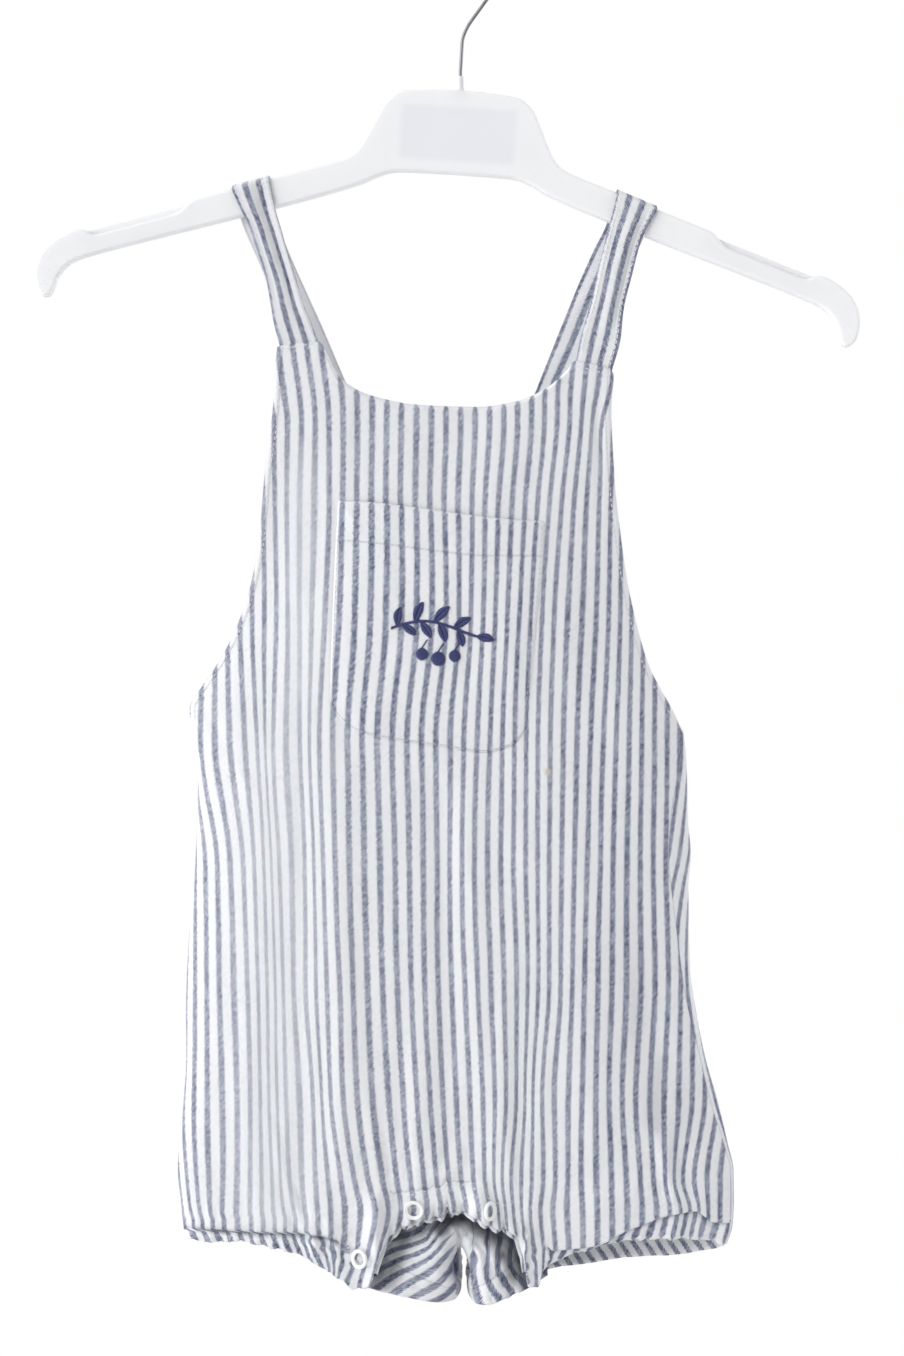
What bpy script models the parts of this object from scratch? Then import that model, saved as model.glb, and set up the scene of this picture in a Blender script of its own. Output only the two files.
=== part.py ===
"""Baby's striped dungarees (bib, long straps, short romper legs with a snap inseam)
hanging on a moulded plastic hanger with a steel wire hook.

Millimetres are used throughout and turned into metres when a mesh is made.
+Z is up, the front of the garment faces -Y, the wearer's left side is +X.
The origin is the inside of the hook's crown, where a rail carries the hanger.
Every cloth piece is an open surface thickened with Solidify: its outer face is
the surface worked out here, and the wall grows inwards.
"""

import math
from collections import namedtuple

import bmesh
import bpy
from mathutils import Matrix, Vector

MM = 0.001

# ---------------------------------------------------------------- driving sizes
CLOTH = 1.2            # wall of one cloth layer
FACING = 1.0           # wall of the turned snap facing
GAP = 0.3              # clearance between neighbouring pieces
STRAP_CLEAR = 0.95     # strap's mid surface above the hanger's skin

HANGER_TILT = 3.6      # the hanger hangs this many degrees down to its right
HANGER_THICK = 8.0
HANGER_ROUND = 1.2
HANGER_WEB = 1.6       # thin web that closes the strap recess
STEM = (-3.7, -82.7)   # x, z of the point where the stem leaves the hanger
SLEEVE_R, SLEEVE_RISE = 1.45, 6.6
BORE_R, BORE_DEPTH = 1.06, 16.0
PLATE_W, PLATE_H, PLATE_DEEP = 52.3, 25.6, 0.4
PLATE_DROP = 19.4      # from the top of the block to the plate's centre

WIRE_R = 0.75
HOOK_R = 20.0          # wire centre line of the hook's round
HOOK_LEAN = 36.0       # the straight run leans this far from the vertical
HOOK_OPEN_TO = 205.0   # the round ends at this angle, open to the left

SNAP_R, SNAP_HOLE_R, SNAP_THICK = 4.3, 2.65, 1.3

PROFILE_P = 2.6        # how square the body's section is
EDGE_Y = 0.62          # each panel's side edge stops this far from the mid plane
SIDE_COLUMNS = [0.0, 0.0015, 0.010]  # columns that close the section's side

# ---------------------------------------------------------------- named tables
Outline = namedtuple("Outline", "z left right")
# Outer edges of the garment: bib, armholes, hips and hems.
OUTLINE = (
    Outline(-193, -83.6, 62.6), Outline(-207, -84.8, 63.3), Outline(-222, -85.7, 62.3),
    Outline(-250, -89.2, 63.5), Outline(-280, -92.0, 66.7), Outline(-300, -95.7, 69.8),
    Outline(-320, -102.8, 74.4), Outline(-335, -111.0, 79.1), Outline(-345, -117.9, 84.2),
    Outline(-353, -122.4, 88.8), Outline(-364, -121.2, 94.2), Outline(-376, -118.6, 95.4),
    Outline(-404, -119.0, 96.3), Outline(-418, -119.8, 97.4), Outline(-431, -120.7, 96.3),
    Outline(-466, -123.4, 97.0), Outline(-485, -124.1, 99.5), Outline(-506, -123.8, 103.6),
    Outline(-525, -125.1, 109.2), Outline(-544, -127.1, 113.6), Outline(-556, -127.8, 116.1),
    Outline(-570, -126.5, 116.2), Outline(-590, -124.8, 115.3), Outline(-616, -123.0, 114.0),
)

Seam = namedtuple("Seam", "z x")
# The right side seam lies on the front; right of it the back panel wraps round.
RIGHT_SEAM = (
    Seam(-364, 92.7), Seam(-376, 91.9), Seam(-389, 89.6), Seam(-404, 87.7),
    Seam(-418, 87.0), Seam(-431, 88.1), Seam(-452, 90.8), Seam(-475, 93.8),
    Seam(-485, 95.8), Seam(-506, 101.0), Seam(-525, 105.4), Seam(-544, 111.6),
    Seam(-556, 114.4), Seam(-570, 114.5), Seam(-590, 113.5), Seam(-616, 112.3),
)

Depth = namedtuple("Depth", "z front back edge power")
# How far the middle of the front and of the back, and their open side edges,
# stand from the hanging plane, and how round the section closes at its sides.
DEPTHS = (
    Depth(-193, 7.4, 6.6, 6.5, 1.0), Depth(-240, 9.6, 7.6, 6.0, 1.0),
    Depth(-300, 14.0, 9.8, 4.4, 1.0), Depth(-340, 17.4, 12.4, 2.2, 0.8),
    Depth(-364, 18.6, 13.6, 0.9, 0.56), Depth(-390, 19.4, 14.4, 0.0, 0.5), Depth(-450, 21.0, 16.0, 0.0, 0.5),
    Depth(-520, 20.0, 16.0, 0.0, 0.5), Depth(-560, 17.0, 14.0, 0.0, 0.5),
    Depth(-590, 14.5, 11.5, 0.0, 0.5), Depth(-616, 12.5, 10.5, 0.0, 0.5),
)

Fold = namedtuple("Fold", "side x_top z_top x_low z_low width rise")
# The largest soft folds: each runs from its top to its low point, and stands out
# (rise over 0) or sinks in (rise under 0) by a rounded section of this width.
FOLDS = (
    Fold("front", -17.0, -376, -12.6, -559, 7.5, -2.0),
    Fold("front", -8.3, -380, 4.8, -526, 6.0, 1.1),
    Fold("front", -58.4, -372, -51.9, -556, 9.0, 1.5),
    Fold("front", -98.0, -390, -96.0, -566, 9.0, 0.9),
    Fold("front", 74.0, -412, 80.0, -545, 9.0, -1.9),
    Fold("front", 43.0, -380, 52.0, -545, 9.0, 0.9),
    Fold("front", 33.0, -226, 30.0, -262, 7.0, -0.8),
    Fold("back", -38.0, -300, -44.0, -400, 6.0, -1.2),
    Fold("back", -12.0, -300, -10.0, -430, 7.0, 1.0),
    Fold("back", 20.0, -300, 24.0, -390, 6.0, -1.1),
    Fold("back", -70.0, -380, -80.0, -560, 10.0, 1.2),
    Fold("back", 8.0, -440, 4.0, -560, 9.0, -1.6),
    Fold("back", 60.0, -400, 72.0, -550, 10.0, 1.3),
)
# The right leg bags over its hem casing.
BAG_Z, BAG_X, BAG_RISE = -566.0, (34.0, 60.0, 104.0), 2.4

Edge = namedtuple("Edge", "t x z")
# Top edge of the front: strap seat, scooped neckline, strap seat.
NECK = (
    Edge(0.000, -84.4, -200.0), Edge(0.020, -81.5, -194.2), Edge(0.125, -66.0, -193.2),
    Edge(0.150, -63.0, -198.0), Edge(0.175, -59.4, -205.0), Edge(0.210, -54.2, -210.8),
    Edge(0.280, -43.8, -216.2), Edge(0.420, -23.0, -220.6), Edge(0.520, -8.3, -221.4),
    Edge(0.610, 4.8, -221.6), Edge(0.720, 21.4, -219.2), Edge(0.805, 34.0, -213.1),
    Edge(0.860, 42.0, -205.6), Edge(0.885, 46.4, -201.5), Edge(0.950, 56.0, -203.2),
    Edge(0.990, 62.0, -205.0), Edge(1.000, 63.2, -207.6),
)
# Lower edge of the front: left hem, snap arch, right hem.
FRONT_HEM = (
    Edge(0.000, -124.6, -585.0), Edge(0.045, -113.0, -586.0), Edge(0.105, -100.0, -585.4),
    Edge(0.165, -85.5, -588.0), Edge(0.220, -72.4, -591.5), Edge(0.265, -62.3, -597.4),
    Edge(0.300, -54.6, -602.4), Edge(0.325, -49.7, -605.6), Edge(0.345, -43.8, -605.0),
    Edge(0.370, -40.2, -595.0), Edge(0.400, -36.0, -585.6), Edge(0.430, -27.8, -578.6),
    Edge(0.455, -20.5, -575.8), Edge(0.485, -11.8, -574.3), Edge(0.515, -1.9, -572.6),
    Edge(0.540, 5.4, -576.4), Edge(0.565, 12.0, -580.6), Edge(0.590, 18.6, -583.2),
    Edge(0.610, 22.4, -589.0), Edge(0.630, 24.4, -597.5), Edge(0.650, 25.7, -605.0),
    Edge(0.665, 29.5, -605.2), Edge(0.680, 32.2, -598.6), Edge(0.700, 37.0, -595.0),
    Edge(0.745, 48.0, -590.6), Edge(0.800, 60.6, -586.9), Edge(0.860, 76.7, -584.8),
    Edge(0.910, 92.4, -585.0), Edge(0.960, 105.5, -586.0), Edge(1.000, 113.2, -588.0),
)
ARCH_T = (0.650, 0.345)  # the snap arch runs between these, right foot to left foot
# Top edge of the back: armholes and the straight elastic top.
BACK_TOP = (
    Edge(0.000, -122.0, -353.0), Edge(0.020, -113.5, -343.0), Edge(0.050, -99.8, -330.5),
    Edge(0.130, -78.0, -312.5), Edge(0.225, -58.6, -299.6), Edge(0.255, -53.0, -296.6),
    Edge(0.510, -10.5, -294.2), Edge(0.770, 32.0, -296.2), Edge(0.805, 37.5, -299.6),
    Edge(0.905, 57.1, -313.0), Edge(0.965, 74.0, -331.0), Edge(0.990, 84.0, -348.0),
    Edge(1.000, 93.6, -363.4),
)
# Lower edge of the back: left hem, the cleft between the legs, right hem.
BACK_HEM = (
    Edge(0.000, -124.6, -584.5), Edge(0.100, -100.5, -583.5), Edge(0.170, -84.0, -585.5),
    Edge(0.250, -64.0, -593.0), Edge(0.320, -48.0, -601.5), Edge(0.380, -32.0, -606.4),
    Edge(0.430, -18.0, -610.4), Edge(0.455, -9.0, -612.6), Edge(0.465, -4.8, -611.0),
    Edge(0.480, -3.2, -606.3), Edge(0.495, -6.4, -600.4), Edge(0.507, -6.8, -596.2),
    Edge(0.525, -3.3, -589.4), Edge(0.540, -0.6, -595.4), Edge(0.552, 0.2, -599.6),
    Edge(0.565, -1.0, -604.8), Edge(0.575, -0.6, -608.6), Edge(0.585, 1.8, -612.8),
    Edge(0.600, 6.5, -613.2), Edge(0.630, 15.0, -610.8), Edge(0.660, 26.0, -605.0),
    Edge(0.690, 38.0, -600.3), Edge(0.740, 52.8, -598.3), Edge(0.785, 63.7, -596.4),
    Edge(0.840, 77.2, -594.9), Edge(0.910, 94.6, -593.6), Edge(0.950, 103.3, -591.6),
    Edge(0.985, 111.4, -589.4), Edge(1.000, 114.8, -586.6),
)
CLEFT_T = (0.585, 0.465)  # the cleft runs between these, right leg to left leg
CLEFT_Y = 1.0             # depth of the legs' inner fold
UNDERLAP = 10.0           # how far the back's snap edge lies under the front's
FACING_WIDE = 12.0

Side = namedtuple("Side", "v left right")
# Pocket: shares of its height, and its two edges.
POCKET_SIDES = (
    Side(0.00, -57.0, 33.2), Side(0.20, -58.3, 32.4), Side(0.50, -59.6, 29.2),
    Side(0.70, -60.2, 27.0), Side(0.85, -60.0, 25.2), Side(1.00, -59.6, 24.2),
)
POCKET_TOP = (-262.9, -271.6)       # z at its left and right corners
POCKET_BOTTOM = (
    Edge(0.00, 0, -351.0), Edge(0.06, 0, -358.5), Edge(0.15, 0, -363.6),
    Edge(0.32, 0, -366.9), Edge(0.55, 0, -369.6), Edge(0.79, 0, -372.3),
    Edge(0.93, 0, -369.4), Edge(0.98, 0, -364.5), Edge(1.00, 0, -358.0),
)

Station = namedtuple("Station", "x_in z_in x_out z_out y")
# Straps, mid surface: the front run from the bib's seam up, and the back run
# from the hanger down to the back's top.
STRAP_LEFT_FRONT = (
    Station(-65.8, -192.8, -82.6, -193.4, -5.9), Station(-69.2, -184.5, -85.0, -185.0, -5.9),
    Station(-72.6, -176.0, -86.5, -176.4, -5.8), Station(-75.5, -166.0, -88.4, -166.0, -5.7),
    Station(-78.4, -156.4, -91.2, -156.2, -5.5), Station(-81.6, -145.6, -94.8, -145.4, -5.3),
    Station(-84.2, -137.0, -98.2, -138.0, -5.1),
)
STRAP_LEFT_TOP = (-87.2, -103.4)    # x of its inner and outer edge on the arm
STRAP_LEFT_BACK = (
    Station(-84.6, -138.0, -99.4, -140.4, 5.1), Station(-78.6, -154.0, -92.8, -156.0, 5.4),
    Station(-66.1, -182.0, -80.8, -184.0, 6.0), Station(-53.8, -210.5, -69.6, -212.5, 6.5),
    Station(-38.0, -246.5, -54.6, -248.0, 7.4), Station(-25.6, -275.0, -42.6, -276.0, 8.4),
    Station(-17.6, -293.4, -35.2, -293.6, 9.0),
)
STRAP_RIGHT_FRONT = (
    Station(47.0, -200.4, 62.8, -204.0, -5.9), Station(49.2, -190.0, 66.0, -192.4, -5.9),
    Station(53.4, -176.4, 67.9, -177.0, -5.8), Station(56.6, -162.0, 71.6, -162.6, -5.6),
    Station(59.6, -149.4, 74.8, -150.6, -5.3), Station(62.0, -140.0, 77.6, -143.6, -5.1),
)
STRAP_RIGHT_TOP = (64.7, 82.0)
STRAP_RIGHT_BACK = (
    Station(60.2, -141.6, 76.6, -146.6, 5.1), Station(54.0, -154.0, 71.2, -158.0, 5.4),
    Station(43.4, -179.0, 61.4, -181.0, 6.0), Station(29.4, -214.0, 47.6, -215.5, 6.5),
    Station(15.0, -249.0, 33.4, -250.0, 7.4), Station(4.4, -275.0, 22.4, -275.6, 8.4),
    Station(-3.2, -293.5, 14.6, -293.6, 9.0),
)

Ring = namedtuple("Ring", "name x z turn tilt off")
# Snap rings: place, turn about the vertical, tilt forwards, stand-off.
RINGS = (
    Ring("snap_ring_1", -47.3, -591.7, -38.0, 0.0, 2.6),
    Ring("snap_ring_2", -23.8, -570.4, -10.0, 8.0, 0.9),
    Ring("snap_ring_3", 8.7, -570.4, 56.0, 0.0, 3.9),
)

Half = namedtuple("Half", "x z")
# Half outline of the hanger from the stem: along the top to the tip, and back
# along the underside.
HANGER_TOP = (
    Half(0.0, 0.0), Half(25.0, -1.6), Half(28.6, -3.3), Half(31.0, -5.4), Half(33.4, -8.4),
    Half(37.5, -17.0), Half(41.4, -25.2), Half(43.8, -28.9), Half(47.0, -31.8),
    Half(53.0, -34.4), Half(71.0, -40.4), Half(90.0, -46.9), Half(110.0, -53.6),
    Half(114.4, -55.4), Half(117.2, -58.2), Half(120.4, -61.2), Half(125.0, -63.0),
    Half(155.6, -73.2), Half(157.6, -73.0), Half(158.8, -70.4), Half(166.0, -72.1),
    Half(172.6, -75.9), Half(177.2, -80.2), Half(180.0, -85.4), Half(181.0, -91.0),
    Half(180.0, -97.4), Half(178.2, -100.4),
)
HANGER_UNDER = (
    Half(175.8, -101.6), Half(173.4, -100.6), Half(172.0, -97.0), Half(170.4, -91.6),
    Half(166.4, -86.6), Half(160.0, -83.0), Half(133.0, -73.9), Half(90.0, -60.2),
    Half(60.0, -50.2), Half(41.5, -43.4), Half(34.0, -39.6), Half(29.0, -37.6),
    Half(24.0, -36.8), Half(0.0, -36.4),
)
WEB_SPAN = ((112.0, -55.8), (160.5, -71.9))  # top line of the web on one arm

COLOURS = {
    "cloth": ((0.80, 0.82, 0.87), 0.9, 0.0),
    "plastic": ((0.90, 0.90, 0.92), 0.35, 0.0),
    "steel": ((0.30, 0.30, 0.33), 0.35, 1.0),
    "snap": ((0.92, 0.92, 0.90), 0.4, 0.0),
}


# ---------------------------------------------------------------- interpolation
def smooth(rows, key, value, at):
    """Monotone cubic through one named column of a table, clamped at its ends."""
    xs = [getattr(r, key) for r in rows]
    ys = [getattr(r, value) for r in rows]
    if xs[0] > xs[-1]:
        xs, ys = xs[::-1], ys[::-1]
    if at <= xs[0]:
        return ys[0]
    if at >= xs[-1]:
        return ys[-1]
    i = max(k for k in range(len(xs) - 1) if xs[k] <= at)

    def slope(k):
        return (ys[k + 1] - ys[k]) / (xs[k + 1] - xs[k])

    def tangent(k):
        if k == 0:
            return slope(0)
        if k == len(xs) - 1:
            return slope(k - 1)
        a, b = slope(k - 1), slope(k)
        return 0.0 if a * b <= 0 else 2 * a * b / (a + b)

    h = xs[i + 1] - xs[i]
    s = (at - xs[i]) / h
    return (
        (2 * s**3 - 3 * s**2 + 1) * ys[i]
        + (s**3 - 2 * s**2 + s) * h * tangent(i)
        + (3 * s**2 - 2 * s**3) * ys[i + 1]
        + (s**3 - s**2) * h * tangent(i + 1)
    )


def ease(s):
    s = min(1.0, max(0.0, s))
    return s * s * (3 - 2 * s)


def left_at(z):
    return smooth(OUTLINE, "z", "left", z)


def right_at(z):
    return smooth(OUTLINE, "z", "right", z)


def seam_at(z):
    """The front panel's right edge: the armhole above the underarm, then the seam."""
    if z > RIGHT_SEAM[0].z:
        under = RIGHT_SEAM[0]
        return right_at(z) - (right_at(under.z) - under.x) * ease(1 - (z - under.z) / 10.0)
    return smooth(RIGHT_SEAM, "z", "x", z)


def fold_rise(x, z, side):
    """How far the soft folds lift the cloth at x, z."""
    total = 0.0
    for f in FOLDS:
        if f.side != side or not f.z_low - 16 < z < f.z_top + 12:
            continue
        along = (f.z_top - z) / (f.z_top - f.z_low)
        across = (x - (f.x_top + (f.x_low - f.x_top) * along)) / f.width
        ends = ease((f.z_top + 12 - z) / 34) * ease((z - f.z_low + 16) / 34)
        total += f.rise * ends * math.exp(-across * across)
    if side == "front" and BAG_X[0] < x:
        drop = (z - BAG_Z) / 9.0
        share = ease((x - BAG_X[0]) / (BAG_X[1] - BAG_X[0])) * ease((BAG_X[2] + 8 - x) / 16)
        total += BAG_RISE * share * math.exp(-drop * drop)
    return total


def stand(z, x, side):
    """How far the front or the back stands from the hanging plane at x, z."""
    t = (x - left_at(z)) / (right_at(z) - left_at(z))
    t = min(1.0, max(0.0, t))
    mid = smooth(DEPTHS, "z", side, z)
    edge = smooth(DEPTHS, "z", "edge", z)
    power = smooth(DEPTHS, "z", "power", z)
    full = (1 - abs(2 * t - 1) ** PROFILE_P) ** power
    return edge + (mid - edge) * full + fold_rise(x, z, side) * min(1.0, 1.3 * full)


def front_y(x, z):
    return -stand(z, x, "front")


# ---------------------------------------------------------------- column spacing
def spaced(edge_rows, count, must=(), weight=0.5):
    """Column positions t from 0 to 1, shared between an even run across the
    section and an even run along the hem, with extra ones close to both ends."""
    steps = 400

    def length(t0, t1, point):
        return (point(t1) - point(t0)).length

    def section(t):
        x = left_at(-480) + t * (right_at(-480) - left_at(-480))
        return Vector((x, front_y(x, -480)))

    def hem(t):
        return Vector((smooth(edge_rows, "t", "x", t), smooth(edge_rows, "t", "z", t)))

    run = [0.0]
    a = sum(length(k / steps, (k + 1) / steps, section) for k in range(steps))
    b = sum(length(k / steps, (k + 1) / steps, hem) for k in range(steps))
    for k in range(steps):
        t0, t1 = k / steps, (k + 1) / steps
        run.append(
            run[-1] + (1 - weight) * length(t0, t1, section) / a + weight * length(t0, t1, hem) / b
        )
    found = []
    for j in range(count + 1):
        want = run[-1] * j / count
        k = max(i for i in range(steps + 1) if run[i] <= want + 1e-12)
        k = min(k, steps - 1)
        found.append((k + (want - run[k]) / (run[k + 1] - run[k])) / steps)
    for m in must:
        k = min(range(1, len(found) - 1), key=lambda i: abs(found[i] - m))
        found[k] = m
    return found


# ---------------------------------------------------------------- mesh making
def material(name):
    found = bpy.data.materials.get(name)
    if found:
        return found
    colour, rough, metal = COLOURS[name]
    found = bpy.data.materials.new(name)
    found.use_nodes = True
    shader = found.node_tree.nodes["Principled BSDF"]
    shader.inputs["Base Color"].default_value = (*colour, 1)
    shader.inputs["Roughness"].default_value = rough
    shader.inputs["Metallic"].default_value = metal
    return found


def clear_scene():
    for obj in list(bpy.data.objects):
        bpy.data.objects.remove(obj, do_unlink=True)


def collection(name):
    made = bpy.data.collections.new(name)
    bpy.context.scene.collection.children.link(made)
    return made


def add_object(name, data, where, look):
    obj = bpy.data.objects.new(name, data)
    where.objects.link(obj)
    data.materials.append(material(look))
    return obj


def mesh_from(name, bm, where, look):
    data = bpy.data.meshes.new(name)
    bm.to_mesh(data)
    bm.free()
    obj = add_object(name, data, where, look)
    data.shade_smooth()
    data.set_sharp_from_angle(angle=math.radians(40))
    return obj


def grid(bm, columns, closed=False):
    """Quads between neighbouring columns of vertices, all the same length."""
    for a, b in zip(columns, columns[1:]):
        for i in range(len(a) - 1):
            bm.faces.new((a[i], a[i + 1], b[i + 1], b[i]))


def vert(bm, p):
    return bm.verts.new(Vector(p) * MM)


def thicken(obj, thickness, offset=-1.0):
    shell = obj.modifiers.new("wall", "SOLIDIFY")
    shell.thickness = thickness * MM
    shell.offset = offset
    shell.use_even_offset = False
    shell.use_rim = True
    return obj


# ---------------------------------------------------------------- cloth panels
def boundary_x(t, z, hem_rows, right, reach=70.0):
    """x of column t at height z: even across the section, easing over to the
    hem's own place within reach of the hem."""
    base = left_at(z) + t * (right(z) - left_at(z))
    zb = smooth(hem_rows, "t", "z", t)
    xb = smooth(hem_rows, "t", "x", t)
    base_b = left_at(zb) + t * (right(zb) - left_at(zb))
    w = ease(1 - (z - zb) / reach)
    return base + w * (xb - base_b)


def front_panel(where):
    bm = bmesh.new()
    inner = spaced(FRONT_HEM, 36, must=(0.125, 0.345, 0.65, 0.885))
    ts = SIDE_COLUMNS + inner[1:-1] + [1 - t for t in reversed(SIDE_COLUMNS)]
    rows = 22
    columns = []
    for t in ts:
        top = smooth(NECK, "t", "z", t)
        bottom = smooth(FRONT_HEM, "t", "z", t)
        column = []
        for i in range(rows + 1):
            v = i / rows
            z = top + (bottom - top) * v
            x = boundary_x(t, z, FRONT_HEM, seam_at)
            y = front_y(x, z)
            column.append(vert(bm, (x, min(y, -EDGE_Y), z)))
        columns.append(column)
    grid(bm, columns)
    obj = mesh_from("front_panel", bm, where, "cloth")
    return thicken(obj, CLOTH)


def cleft_point(s):
    """The legs' inner fold, s from 0 at the right hem to 1 at the left hem."""
    t = CLEFT_T[0] + s * (CLEFT_T[1] - CLEFT_T[0])
    return Vector((smooth(BACK_HEM, "t", "x", t), smooth(BACK_HEM, "t", "z", t)))


def arch_point(s):
    """The front's snap edge, s from 0 at the right foot to 1 at the left foot."""
    t = ARCH_T[0] + s * (ARCH_T[1] - ARCH_T[0])
    return Vector((smooth(FRONT_HEM, "t", "x", t), smooth(FRONT_HEM, "t", "z", t)))


def arch_out(s):
    """Unit direction across the arch, away from the legs; it rises with the hem
    at the two feet."""
    a, b = arch_point(max(0.0, s - 0.12)), arch_point(min(1.0, s + 0.12))
    d = (b - a).normalized()
    out = Vector((d.y, -d.x))
    foot = ease(1 - min(s, 1 - s) / 0.15)
    rise = Vector((0.85, 0.53) if s < 0.5 else (-0.97, 0.24))
    return (out * (1 - foot) + rise * foot).normalized()


def cleft_distance(x, z):
    p = Vector((x, z))
    return min((p - cleft_point(k / 24)).length for k in range(25))


def rounding(distance, radius):
    s = min(1.0, distance / radius)
    return math.sqrt(max(0.0, 1 - (1 - s) ** 2))


def lobe_point(s, r):
    """Inner leg cloth from the cleft (r 0) to under the snap edge (r 1) and on
    beneath the front's edge (r over 1)."""
    a, b = cleft_point(s), arch_point(s)
    if r <= 1:
        x, z = a + (b - a) * r
        z -= 2.2 * math.sin(math.pi * r**0.7) * ease(1 - min(s, 1 - s) / 0.12)
        near = front_y(b.x, b.y) + CLOTH + FACING + 2 * GAP
        fold = rounding((Vector((x, z)) - a).length, 11.0)
        return Vector((x, CLEFT_Y + (near - CLEFT_Y) * fold, z))
    x, z = b + arch_out(s) * (r - 1)
    return Vector((x, front_y(x, z) + CLOTH + FACING + 2 * GAP, z))


def back_panel(where):
    bm = bmesh.new()
    cleft_count = 14
    left_part = [t for t in spaced(BACK_HEM, 28) if t < CLEFT_T[1] - 0.008]
    right_part = [t for t in spaced(BACK_HEM, 28) if t > CLEFT_T[0] + 0.008]
    cleft_ts = [
        CLEFT_T[1] + k * (CLEFT_T[0] - CLEFT_T[1]) / cleft_count for k in range(cleft_count + 1)
    ]
    ts = SIDE_COLUMNS + left_part[1:] + cleft_ts + right_part[:-1]
    ts += [1 - t for t in reversed(SIDE_COLUMNS)]
    rows = 20
    columns = []
    # The wrap: from the seam on the front, round the right side.
    for share in (0.0, 0.5):
        column = []
        top, bottom = RIGHT_SEAM[0].z - 0.6, -587.2
        for i in range(rows + 1):
            z = top + (bottom - top) * i / rows
            start = seam_at(z) + 2 * GAP
            x = start + share * (right_at(z) - start)
            column.append(vert(bm, (x, min(front_y(x, z), -EDGE_Y / 2), z)))
        columns.append(column)
    # The back itself, from the right side to the left.
    for t in reversed(ts):
        top = smooth(BACK_TOP, "t", "z", t)
        bottom = smooth(BACK_HEM, "t", "z", t)
        column = []
        for i in range(rows + 1):
            v = i / rows
            z = top + (bottom - top) * v
            x = boundary_x(t, z, BACK_HEM, right_at)
            y = stand(z, x, "back")
            if t < 0.999:
                y = max(y, EDGE_Y)
            distance = cleft_distance(x, z)
            y = CLEFT_Y + (y - CLEFT_Y) * rounding(distance, 12.0) if distance < 12 else y
            if i == rows and CLEFT_T[1] <= t <= CLEFT_T[0]:
                y = CLEFT_Y
            column.append(vert(bm, (x, y, z)))
        columns.append(column)
    # Wrap columns are shorter: they start below the underarm.
    grid(bm, [c[::-1] for c in columns])
    # The legs' inner cloth carries on from the cleft to the snap edge.
    order = [t for t in reversed(ts)]
    strip = []
    for t, column in zip(order, columns[2:]):
        if not (CLEFT_T[1] - 1e-9 <= t <= CLEFT_T[0] + 1e-9):
            continue
        s = (CLEFT_T[0] - t) / (CLEFT_T[0] - CLEFT_T[1])
        line = [column[-1]]
        for r in (0.08, 0.22, 0.45, 0.72, 1.0, 1.0 + UNDERLAP * 0.5, 1.0 + UNDERLAP):
            line.append(vert(bm, lobe_point(s, r)))
        strip.append(line)
    grid(bm, [c[::-1] for c in strip])
    bmesh.ops.recalc_face_normals(bm, faces=bm.faces)
    far = max(bm.faces, key=lambda f: f.calc_center_median().y)
    if far.normal.y < 0:
        bmesh.ops.reverse_faces(bm, faces=bm.faces)
    obj = mesh_from("back_panel", bm, where, "cloth")
    return thicken(obj, CLOTH)


def snap_facing(where):
    """The turned facing behind the front's snap edge."""
    bm = bmesh.new()
    columns = []
    count = 22
    for k in range(count + 1):
        s = 0.09 + 0.82 * k / count
        base, out = arch_point(s), arch_out(s)
        column = []
        for w in (0.4, 0.5 * FACING_WIDE, FACING_WIDE):
            x, z = base + out * w
            column.append(vert(bm, (x, front_y(x, z) + CLOTH + GAP, z)))
        columns.append(column)
    grid(bm, columns)
    bmesh.ops.recalc_face_normals(bm, faces=bm.faces)
    if sum(f.normal.y for f in bm.faces) > 0:
        bmesh.ops.reverse_faces(bm, faces=bm.faces)
    obj = mesh_from("snap_facing", bm, where, "cloth")
    return thicken(obj, FACING)


def pocket(where):
    """Patch pocket: points of the front panel moved out by a wall and a gap."""
    bm = bmesh.new()
    across, down = 12, 11
    columns = []
    for j in range(across + 1):
        u = j / across
        u = u + 0.045 * math.sin(2 * math.pi * u) * -1
        top = POCKET_TOP[0] + (POCKET_TOP[1] - POCKET_TOP[0]) * ease(u)
        bottom = smooth(POCKET_BOTTOM, "t", "z", u)
        column = []
        for i in range(down + 1):
            z = top + (bottom - top) * i / down
            v = (POCKET_TOP[0] - z) / (POCKET_TOP[0] + 372.3)
            a = smooth(POCKET_SIDES, "v", "left", v)
            b = smooth(POCKET_SIDES, "v", "right", v)
            x = a + (b - a) * u
            column.append(vert(bm, (x, front_y(x, z) - CLOTH - GAP - 0.1, z)))
        columns.append(column)
    grid(bm, columns)
    return thicken(mesh_from("pocket", bm, where, "cloth"), CLOTH)


# ---------------------------------------------------------------- hanger
def tilt(x, z):
    """A point of the hanger's own drawing, tilted and moved to its stem."""
    a = math.radians(HANGER_TILT)
    return (
        x * math.cos(a) + z * math.sin(a) + STEM[0],
        -x * math.sin(a) + z * math.cos(a) + STEM[1],
    )


def arm_top(x):
    """z of the hanger's top edge at x, read from its tilted half outlines."""
    side = 1 if x > STEM[0] else -1
    points = [tilt(side * p.x, p.z) for p in HANGER_TOP[9:13]]
    points.sort()
    for a, b in zip(points, points[1:]):
        if a[0] <= x <= b[0]:
            return a[1] + (b[1] - a[1]) * (x - a[0]) / (b[0] - a[0])
    return points[0][1] if x < points[0][0] else points[-1][1]


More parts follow.
